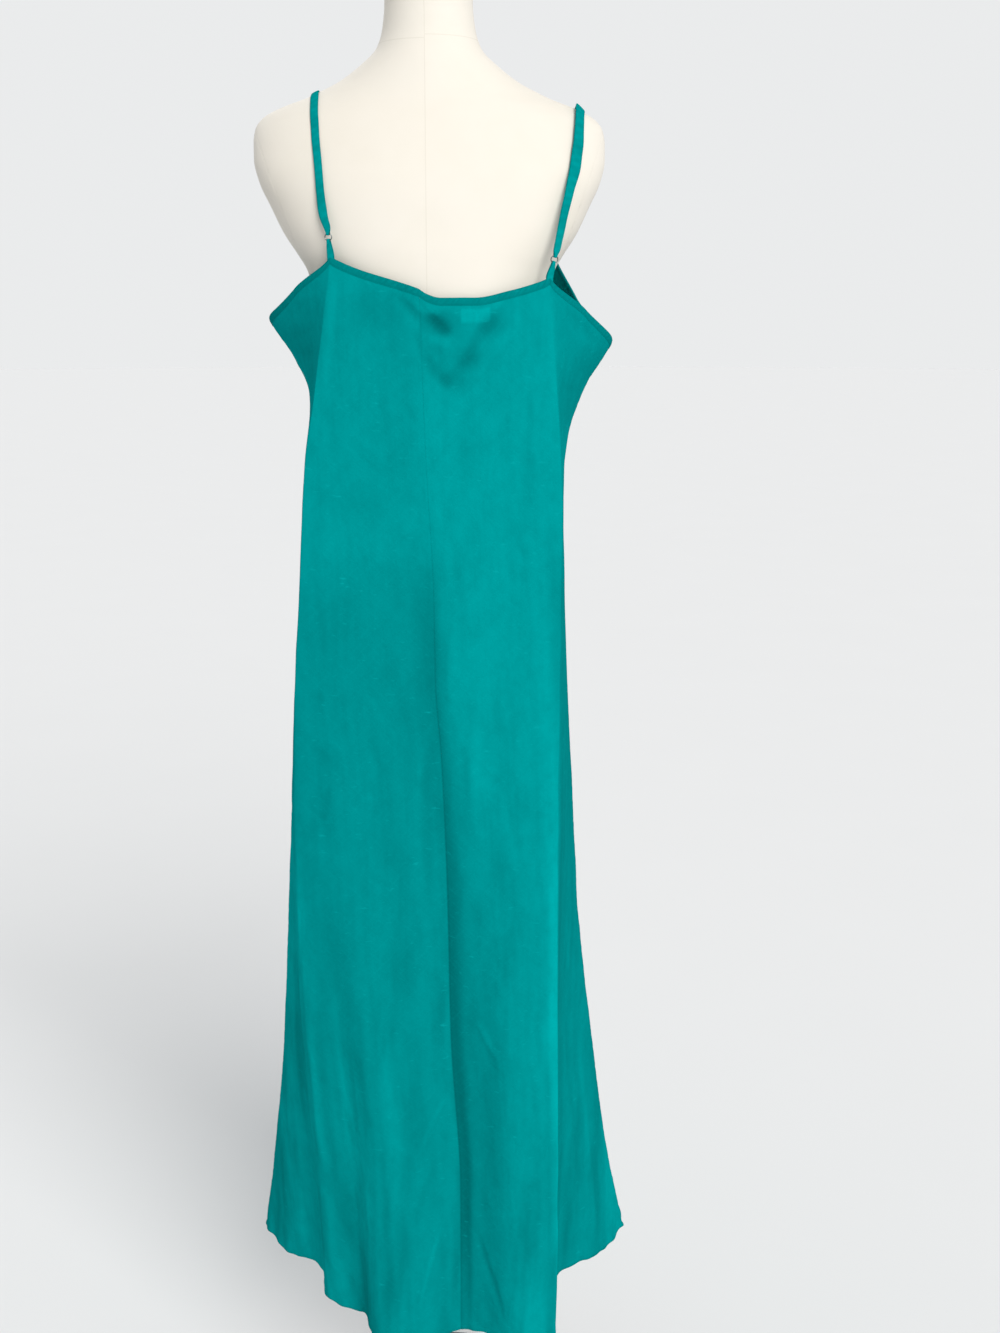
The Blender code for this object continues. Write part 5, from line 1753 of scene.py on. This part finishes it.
@dataclass
class DressForm:
    """The covered torso, and the domed plates in its armholes."""

    shape: FormShape
    columns: int = 216
    row_pitch: float = 4.5 * MM
    cover_turn: float = 0.13
    arm_cut: tuple = ((0.1830, 1.580), (0.1450, 1.470))
    arm_cut_low: float = 1.4365
    plate_from: float = 1.42
    cutter: tuple = (0.10, 0.30, 0.20)
    seam_gap: float = 0.05 * MM
    rim: float = 0.35 * MM

    def loft(self, name: str, bottom: float) -> Item:
        """Make a closed loft of the form from a height up.

        Args:
            name: the object's name.
            bottom: height below which it is left out.

        Returns:
            The object.
        """
        knots = sorted(row.height for row in FORM_SECTIONS)
        heights = [knots[0]]
        for low, high in zip(knots[:-1], knots[1:]):
            count = max(1, int(math.ceil((high - low) / self.row_pitch)))
            heights += [low + (high - low) * (index + 1) / count for index in range(count)]
        levels = np.array([height for height in heights if height >= bottom])
        angle, z = np.meshgrid(2 * math.pi * np.arange(self.columns) / self.columns, levels)
        flat = np.stack((angle * self.cover_turn, z), axis=-1)
        return closed_sweep(name, self.shape.points(angle, z), np.ones_like(z), flat)

    def arm_box(self, side: int, pull: float) -> Item:
        """Make a box whose inner face is the armhole's plane.

        Args:
            side: 1 for the wearer's left and -1 for the right.
            pull: how far the face is moved out.

        Returns:
            The box.
        """
        (top_x, top_z), (low_x, low_z) = self.arm_cut
        lean = math.atan2(top_x - low_x, top_z - low_z)
        low_gap = (self.arm_cut_low - low_z) / math.cos(lean)
        deselect()
        bpy.ops.mesh.primitive_cube_add(size=1.0)
        box = bpy.context.object
        place = Matrix.Translation((side * low_x, 0.0, low_z)) @ Matrix.Rotation(side * lean, 4, "Y")
        shift = Matrix.Translation((side * (self.cutter[0] / 2 + pull), 0.0, self.cutter[2] / 2 + low_gap))
        box.data.transform(place @ shift @ Matrix.Diagonal((*self.cutter, 1.0)))
        return box

    def cut(self, item: Item, operation: str, side: int, pull: float) -> None:
        """Cut a piece with an armhole's box.

        Args:
            item: the piece.
            operation: DIFFERENCE to cut the armhole, INTERSECT to keep its plate.
            side: 1 for the wearer's left and -1 for the right.
            pull: how far out the cut lies.
        """
        box = self.arm_box(side, pull)
        activate(item)
        modifier = item.modifiers.new("arm_cut", "BOOLEAN")
        modifier.operation = operation
        modifier.object = box
        modifier.solver = "EXACT"
        bpy.ops.object.modifier_apply(modifier=modifier.name)
        bpy.data.objects.remove(box, do_unlink=True)

    def soften(self, item: Item) -> None:
        """Round the cut rim of a piece.

        Args:
            item: the piece.
        """
        activate(item)
        bevel = item.modifiers.new("rim", "BEVEL")
        bevel.width = self.rim
        bevel.segments = 2
        bevel.limit_method = "ANGLE"
        bevel.angle_limit = math.radians(38)
        bpy.ops.object.modifier_apply(modifier=bevel.name)
        bpy.ops.object.shade_smooth_by_angle(angle=math.radians(50))

    def build(self) -> None:
        """Make the torso and both plates."""
        torso = self.loft("form_torso_cover", 0.0)
        for side in (1, -1):
            self.cut(torso, "DIFFERENCE", side, 0.0)
        self.soften(torso)
        finish_piece(torso, Slot.FORM_CLOTH, "form_torso")
        for side, word in ((1, "left"), (-1, "right")):
            plate = self.loft(f"arm_plate_{word}_cover", self.plate_from)
            self.cut(plate, "INTERSECT", side, self.seam_gap)
            self.soften(plate)
            finish_piece(plate, Slot.FORM_CLOTH, "arm_plate_" + word)


# ---- straps, tabs and rings
class PathPoint(NamedTuple):
    """A point of a ribbon: its place, the way its flat side looks, its width and thickness."""

    place: Vector
    facing: Vector
    width: float
    thick: float


class RingSeat:
    """Where a ring hangs: its middle, the way up along the strap and the way its hole looks."""

    def __init__(self, middle: Vector, upward: Vector, facing: Vector) -> None:
        """Square the seat's directions.

        Args:
            middle: the ring's middle.
            upward: the way up along the strap.
            facing: about the way its hole looks.
        """
        self.middle = middle
        self.upward = upward.normalized()
        self.across = self.upward.cross(facing).normalized()
        self.facing = self.across.cross(self.upward).normalized()

    def at(self, up: float, out: float) -> Vector:
        """Point of the ring's middle plane, up along the strap and out along its facing."""
        return self.middle + self.upward * up + self.facing * out


@dataclass
class Straps:
    """Both rouleau straps with their tabs and rings."""

    drape: Drape
    shape: FormShape
    wall: float = 1.5 * MM
    seam_gap: float = 0.3 * MM
    width: float = 8.4 * MM
    thick: float = 2.0 * MM
    tab_width: float = 7.6 * MM
    tab_gap: float = 0.1 * MM
    tab_pinch: float = 0.5 * MM
    tab_phase: float = 0.8
    sunk: float = 5.0 * MM
    ply: float = 0.9 * MM
    loop_width: float = 3.6 * MM
    loop_steps: int = 6
    turned_back: float = 5.0 * MM
    turned_gap: float = 0.4 * MM
    ring_radius: float = 3.75 * MM
    ring_wire: float = 0.55 * MM
    ring_joint: tuple = (0.25, 0.12)
    rest_gap: float = 0.35 * MM
    neck: float = 0.80
    forward: float = 0.03
    spread: tuple = (1.16, 1.28)
    sides: int = 24
    squareness: float = 0.75
    spacing: float = 1.3 * MM
    wrinkle: float = 0.035
    sway: float = 0.05
    cover_turn: float = 4.0 * MM

    def corner(self, station: int) -> tuple[Vector, Vector]:
        """Find a strap corner of the dress.

        Args:
            station: its station.

        Returns:
            Its point and normal.
        """
        where = np.array([float(station)])
        z = self.drape.edge(where)
        return Vector(self.drape.points(where, z)[0]), Vector(self.drape.normals(where, z)[0])

    def loop(self, seat: RingSeat, way: int) -> list[PathPoint]:
        """Lead cloth round the wire.

        Args:
            seat: where the ring hangs.
            way: 1 for the strap and -1 for the tab.

        Returns:
            The loop's path points.
        """
        half_turn = math.asin(self.loop_width / 2 / self.ring_radius)
        middle = self.ring_radius * math.cos(half_turn)
        radius = self.ring_wire + self.seam_gap + self.ply / 2
        points = []
        for step in range(self.loop_steps + 1):
            angle = math.pi * step / self.loop_steps
            facing = seat.facing * math.cos(angle) - seat.upward * way * math.sin(angle)
            place = seat.at(way * (middle - radius * math.sin(angle)), radius * math.cos(angle))
            points.append(PathPoint(place, facing, self.loop_width, self.ply))
        return points

    def route_point(self, point: StrapPoint, run: float) -> PathPoint:
        """Turn a point of a route into a path point.

        Args:
            point: the route's point.
            run: way along y to the next one, negative towards the front.

        Returns:
            The path point, which lies on the form where the strap rests.
        """
        lean = math.radians(point.twist)
        width = point.width * MM * self.spread[0 if point.x > 0 else 1]
        place = Vector((point.x, point.y, point.z))
        if point.rests:
            place = self.shape.laid(place)
        facing = self.shape.normal(place)
        if point.rests:
            half = 0.5 * self.thick * math.cos(lean) + 0.42 * width * math.sin(abs(lean))
            place = place + facing * (half + self.rest_gap)
        along = facing.cross(Vector((1.0, 0.0, 0.0))).normalized() * math.copysign(1.0, run)
        facing.rotate(Matrix.Rotation(lean, 3, along))
        return PathPoint(place, facing, width, self.thick)

    def route(self, rows: tuple) -> list[PathPoint]:
        """Turn a route into path points, with one more between each two that rest on the form.

        Args:
            rows: the route.

        Returns:
            The path points.
        """
        points = []
        for start, end in zip(rows[:-1], rows[1:]):
            run = end.y - start.y
            points.append(self.route_point(start, run))
            if start.rests and end.rests:
                middle = [0.5 * (first + second) for first, second in zip(start[:5], end[:5])]
                points.append(self.route_point(StrapPoint(*middle, True), run))
        points.append(self.route_point(rows[-1], run))
        return points

    @staticmethod
    def smooth(points: list[PathPoint], spacing: float) -> Array:
        """Read a smooth curve through path points.

        Args:
            points: the path.
            spacing: longest step along it.

        Returns:
            Rows of place, facing, width and thickness.
        """
        rows = np.array([(*point.place, *point.facing, point.width, point.thick) for point in points])
        run = np.linalg.norm(np.diff(rows[:, :3], axis=0), axis=1)[:, None]
        slope = np.diff(rows, axis=0) / run
        turn = np.empty_like(rows)
        turn[0], turn[-1] = slope[0], slope[-1]
        turn[1:-1] = (slope[:-1] * run[1:] + slope[1:] * run[:-1]) / (run[:-1] + run[1:])
        made = []
        for index, reach in enumerate(run[:, 0]):
            count = max(3, int(math.ceil(float(reach) / spacing)))
            made += [cubic_between(rows[index], reach * turn[index], rows[index + 1], reach * turn[index + 1],
                                   step / count) for step in range(count)]
        return np.array([*made, rows[-1]])

    def ribbon(self, name: str, node: str, points: list[PathPoint], phase: float) -> Item:
        """Loft a turned tube of cloth along a path, with small twist wrinkles, painted shade along both its
        edges and painted shade and light on the wrinkles.

        Args:
            name: the object's name.
            node: the CAD node that it stands for.
            points: the path.
            phase: where its wrinkles begin.

        Returns:
            The object.
        """
        rows = self.smooth(points, self.spacing)
        place, facing = rows[:, :3], unit(rows[:, 3:6])
        width, thick = rows[:, 6:7], rows[:, 7:8]
        along = unit(np.gradient(place, axis=0))
        side = unit(np.cross(along, facing))
        facing = unit(np.cross(side, along))
        way = run_along(place)[:, None]
        angle = 2 * math.pi * (np.arange(self.sides) + 0.5) / self.sides
        across = signed_power(np.cos(angle), self.squareness)[None] * width / 2
        proud = signed_power(np.sin(angle), self.squareness)[None] * thick / 2
        wave = np.sin(way * 780 + 1.6 * angle[None] + phase + np.sin(way * 95))
        wave = wave + 0.6 * np.sin(way * 520 - 2.3 * angle[None] + 2 * phase)
        swell = 1.0 + self.wrinkle * wave * np.clip(thick / self.thick, 0.3, 1.0)
        proud = proud * swell + self.sway * thick * np.sin(way * 210 + phase)
        # Painted shade along both edges of the flattened tube, and painted shade and light on its wrinkles.
        tone = 0.80 - 0.50 * (np.cos(angle) ** 6)[None] + 0.10 * wave
        rings = place[:, None] + side[:, None] * across[..., None] + facing[:, None] * proud[..., None]
        flat = np.stack((way + 0 * across, self.cover_turn * angle[None] + 0 * across), axis=-1)
        item = closed_sweep(name, rings[:, ::-1], tone[:, ::-1], flat[:, ::-1])
        return finish_piece(item, Slot.TEAL_STRAP, node)

    def ring(self, word: str, seat: RingSeat) -> None:
        """Spin the wire's section into a ring, flattened a little where it was joined.

        Args:
            word: left or right.
            seat: where the ring hangs.
        """
        deselect()
        bpy.ops.mesh.primitive_circle_add(
            vertices=18, radius=self.ring_wire, location=(self.ring_radius, 0.0, 0.0),
            rotation=(math.pi / 2, 0.0, 0.0))
        ring = start_editing("SELECT")
        bpy.ops.mesh.spin(steps=64, angle=2 * math.pi, center=(0.0, 0.0, 0.0), axis=(0.0, 0.0, 1.0))
        bpy.ops.mesh.select_all(action="SELECT")
        bpy.ops.mesh.remove_doubles(threshold=0.00001)
        bpy.ops.mesh.normals_make_consistent(inside=False)
        bpy.ops.object.mode_set(mode="OBJECT")
        reach, flattening = self.ring_joint
        for vertex in ring.data.vertices:
            near = max(0.0, 1.0 - abs(math.atan2(vertex.co.y, vertex.co.x)) / reach)
            vertex.co.z *= 1.0 - flattening * near
        turn = Matrix((seat.across, seat.upward, seat.facing)).transposed().to_4x4()
        ring.data.transform(Matrix.Translation(seat.middle) @ turn)
        ring.name = f"ring_{word}_wire"
        bpy.ops.object.shade_smooth()
        finish_piece(ring, Slot.RING_METAL, "ring_" + word)

    def tab(self, word: str, seat: RingSeat, corner: tuple[Vector, Vector]) -> None:
        """Make the loop of cloth from the corner up round the ring and back.

        Args:
            word: left or right.
            seat: where the ring hangs.
            corner: the back corner's point and normal.
        """
        base, normal = corner
        middle = base - normal * (self.wall / 2)
        depth = seat.facing * (self.wall / 2 + self.tab_gap)
        front, rear = middle + depth, middle - depth
        sunk = Vector((0.0, 0.0, -self.sunk))
        pinch = seat.facing * self.tab_pinch
        turn = self.loop(seat, -1)
        waist = self.neck * self.tab_width
        wide, thick, facing = self.tab_width, self.ply, seat.facing
        path = [PathPoint(front + sunk - pinch, normal, wide, thick), PathPoint(front, facing, wide, thick),
                PathPoint(front.lerp(turn[0].place, 0.5), facing, waist, thick), *turn,
                PathPoint(rear.lerp(turn[-1].place, 0.5), -facing, waist, thick),
                PathPoint(rear, -facing, wide, thick), PathPoint(rear + sunk + pinch, -normal, wide, thick)]
        self.ribbon(f"tab_{word}_cloth", "tab_" + word, path, self.tab_phase)

    def strap(self, side: StrapSide, seat: RingSeat, corner: tuple[Vector, Vector]) -> None:
        """Make a strap from its turned-back end, round the ring, over the shoulder to the front.

        Args:
            side: the strap's own values.
            seat: where the ring hangs.
            corner: the front corner's point and normal.
        """
        base, normal = corner
        turn = list(reversed(self.loop(seat, 1)))
        neck, foot = self.neck * self.width, 0.9 * self.width
        onward = self.route(side.route)
        rise = seat.at(self.ring_radius + self.turned_back, (self.thick - self.ply) / 2 + self.seam_gap)
        below = seat.facing * ((self.thick + self.ply) / 2 + self.turned_gap)
        tail = rise.lerp(onward[0].place, 0.75) - below
        end = base - normal * (self.wall / 2)
        path = [PathPoint(tail, -seat.facing, neck, self.ply),
                PathPoint(rise - below, -seat.facing, 0.75 * self.width, self.ply), *turn,
                PathPoint(rise, seat.facing, neck, 0.5 * (self.ply + self.thick)), *onward,
                PathPoint(end, normal, foot, self.thick),
                PathPoint(end + Vector((0.0, 0.0, -self.sunk)), normal, foot, 0.7 * self.thick)]
        self.ribbon(f"strap_{side.word}_cloth", "strap_" + side.word, path, side.phase)

    def build(self) -> None:
        """Make both sides' rings, tabs and straps."""
        for side in STRAP_SIDES:
            point, normal = self.corner(side.back)
            upward = Vector((side.lean, self.forward, 1.0)).normalized()
            seat = RingSeat(point + upward * (side.length + self.ring_radius), upward, normal)
            self.ring(side.word, seat)
            self.tab(side.word, seat, (point, normal))
            self.strap(side, seat, self.corner(side.front))


# ---- the stand
@dataclass
class Stand:
    """The pole, and the round weighted base with its socket."""

    pole_radius: float = 12.5 * MM
    pole_sides: int = 48
    pole_bevel: float = 0.6 * MM
    pole_rings: tuple = (0.30, 0.60)
    top: float = 0.8797
    foot_gap: float = 0.3 * MM
    base_radius: float = 0.155
    base_height: float = 16.0 * MM
    base_sides: int = 128
    socket_radii: tuple = (30.0 * MM, 13.5 * MM)

    # Height and way in from the rim, in mm, of the base's edge from its foot up.
    BASE_EDGE = (
        (0.0, 5.0), (0.7, 2.6), (2.2, 0.7), (5.0, 0.0), (11.0, 0.0), (13.8, 0.8), (15.3, 2.8), (16.0, 5.5),
    )

    @staticmethod
    def profile(name: str, steps: list[tuple[float, float]], sides: int) -> Item:
        """Turn a solid by hand: a disc, then extrusions that each rise and scale.

        Args:
            name: the object's name.
            steps: heights and radii from the foot up.
            sides: sides of the disc.

        Returns:
            The object.
        """
        deselect()
        height, radius = steps[0]
        bpy.ops.mesh.primitive_circle_add(vertices=sides, radius=radius, fill_type="NGON",
                                          location=(0.0, 0.0, height))
        item = start_editing("SELECT")
        for next_height, next_radius in steps[1:]:
            rise, scale = next_height - height, next_radius / radius
            bpy.ops.mesh.extrude_region_move(TRANSFORM_OT_translate={"value": (0.0, 0.0, rise)})
            bpy.ops.transform.resize(value=(scale, scale, 1.0))
            height, radius = next_height, next_radius
        bpy.ops.mesh.select_all(action="SELECT")
        bpy.ops.mesh.normals_make_consistent(inside=False)
        bpy.ops.object.mode_set(mode="OBJECT")
        item.name = name
        bpy.ops.object.shade_smooth_by_angle(angle=math.radians(34))
        return item

    def build(self) -> None:
        """Make the pole and the base."""
        radius, bevel = self.pole_radius, self.pole_bevel
        low = self.base_height + self.foot_gap
        straight = (low + bevel, *self.pole_rings, self.top - bevel)
        steps = [(height, radius) for height in straight]
        steps = [(low, radius - bevel), *steps, (self.top, radius - bevel)]
        finish_piece(self.profile("stand_pole_tube", steps, self.pole_sides), Slot.STAND_METAL, "stand_pole")
        steps = [(height * MM, self.base_radius - inward * MM) for height, inward in self.BASE_EDGE]
        steps += [(self.base_height, socket) for socket in self.socket_radii]
        finish_piece(self.profile("stand_base_plate", steps, self.base_sides), Slot.STAND_METAL, "stand_base")


# ---- studio
class Lamp(NamedTuple):
    """A distant soft light: the side it shines from, its strength, its size in degrees and its colour."""

    name: str
    place: tuple
    strength: float
    spread: float
    color: tuple


@dataclass
class Studio:
    """Pale floor, soft lights and the camera."""

    eye: tuple = (0.0, 1.65, 1.39)
    pitch: float = 13.3
    yaw: float = 2.55
    lens: float = 40.24
    sensor: float = 36.0
    sight: float = 60.0
    pale: tuple = (0.825, 0.835, 0.84)
    dim: tuple = (0.40, 0.41, 0.42)
    dimming: tuple = (-0.75, -0.05)
    floor_paint: tuple = (0.70, 0.705, 0.71)
    floor_radius: float = 40.0

    LAMPS = (
        Lamp("key", (-0.62, 1.55, 0.96), 3.15, 34.0, (1.0, 0.985, 0.96)),
        Lamp("front_fill", (0.8, -1.6, 1.3), 1.0, 40.0, (1.0, 1.0, 1.0)),
    )

    def camera(self) -> None:
        """Place the camera."""
        data = bpy.data.cameras.new("camera")
        data.lens = self.lens
        data.sensor_width = self.sensor
        data.clip_end = self.sight
        camera = bpy.data.objects.new("camera", data)
        bpy.context.scene.collection.objects.link(camera)
        pitch, yaw = math.radians(self.pitch), math.radians(self.yaw)
        level = math.cos(pitch)
        forward = Vector((-math.sin(yaw) * level, -math.cos(yaw) * level, -math.sin(pitch)))
        camera.location = self.eye
        camera.rotation_euler = forward.to_track_quat("-Z", "Y").to_euler()
        bpy.context.scene.camera = camera

    @staticmethod
    def light(lamp: Lamp) -> None:
        """Add a light that looks at the dress.

        Args:
            lamp: its values.
        """
        data = bpy.data.lights.new(lamp.name, "SUN")
        data.energy = lamp.strength
        data.angle = math.radians(lamp.spread)
        data.color = lamp.color
        item = bpy.data.objects.new(lamp.name, data)
        bpy.context.scene.collection.objects.link(item)
        item.location = lamp.place
        item.rotation_euler = (-Vector(lamp.place)).to_track_quat("-Z", "Y").to_euler()

    def world(self) -> None:
        """Set a pale surround, dimmer beyond the wearer's front, and show colours as they are."""
        world = bpy.data.worlds.new("studio")
        world.use_nodes = True
        tree = world.node_tree
        depth = axes_of(tree, add_node(tree, "TexCoord").outputs["Generated"])[1]
        shade = mix_colors(tree, self.pale, self.dim, ramp_of(tree, depth, *self.dimming))
        tree.links.new(shade, tree.nodes["Background"].inputs["Color"])
        bpy.context.scene.world = world
        bpy.context.scene.view_settings.view_transform = "Standard"

    def floor(self) -> None:
        """Make the pale floor with a faint mottle."""
        deselect()
        bpy.ops.mesh.primitive_circle_add(vertices=96, radius=self.floor_radius, fill_type="NGON",
                                          location=(0.0, 0.0, 0.0))
        floor = bpy.context.object
        floor.name = "studio_floor"
        material, tree, shader = shader_of(
            "floor_paint", self.floor_paint, Roughness=0.95, Specular_IOR_Level=0.0)
        mottle = noise_of(tree, add_node(tree, "TexCoord").outputs["Object"], Scale=3.0, Detail=3.0)
        worn = tuple(0.985 * value for value in self.floor_paint)
        tree.links.new(mix_colors(tree, self.floor_paint, worn, mottle), shader.inputs["Base Color"])
        floor.data.materials.append(material)

    def build(self) -> None:
        """Set up the whole studio."""
        self.camera()
        self.world()
        self.floor()
        for lamp in self.LAMPS:
            self.light(lamp)


def main() -> None:
    """Build the dress, the form and the studio on the frame."""
    logging.basicConfig(level=logging.INFO, format="%(message)s")
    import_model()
    Studio().build()
    drape = Drape()
    relief = Relief(drape)
    panels = (
        Panel("back_left", 0.0, LEFT_SEAM, 130, 340, 0.0, (0.41, 1.22), 0.34),
        Panel("front", LEFT_SEAM, RIGHT_SEAM, 200, 230, FRONT_MIDDLE, (0.68, 1.26), 0.66),
        Panel("back_right", RIGHT_SEAM, 12.0, 130, 340, 12.0, (0.40, 1.20), 0.326),
    )
    cloth = [panel.build(relief) for panel in panels]
    bindings = [
        Binding("neck_band_back", 11.0, 13.0, 230), Binding("armhole_band_left", 1.0, 5.0, 240),
        Binding("neck_band_front", 5.0, 7.0, 260), Binding("armhole_band_right", 7.0, 11.0, 240),
    ]
    for binding in bindings:
        binding.build(drape)
    Topstitch().build(drape, bindings)
    NeckTape().build(relief)
    shape = FormShape()
    Straps(drape, shape).build()
    DressForm(shape).build()
    Stand().build()
    deselect()


if __name__ == "__main__":
    main()
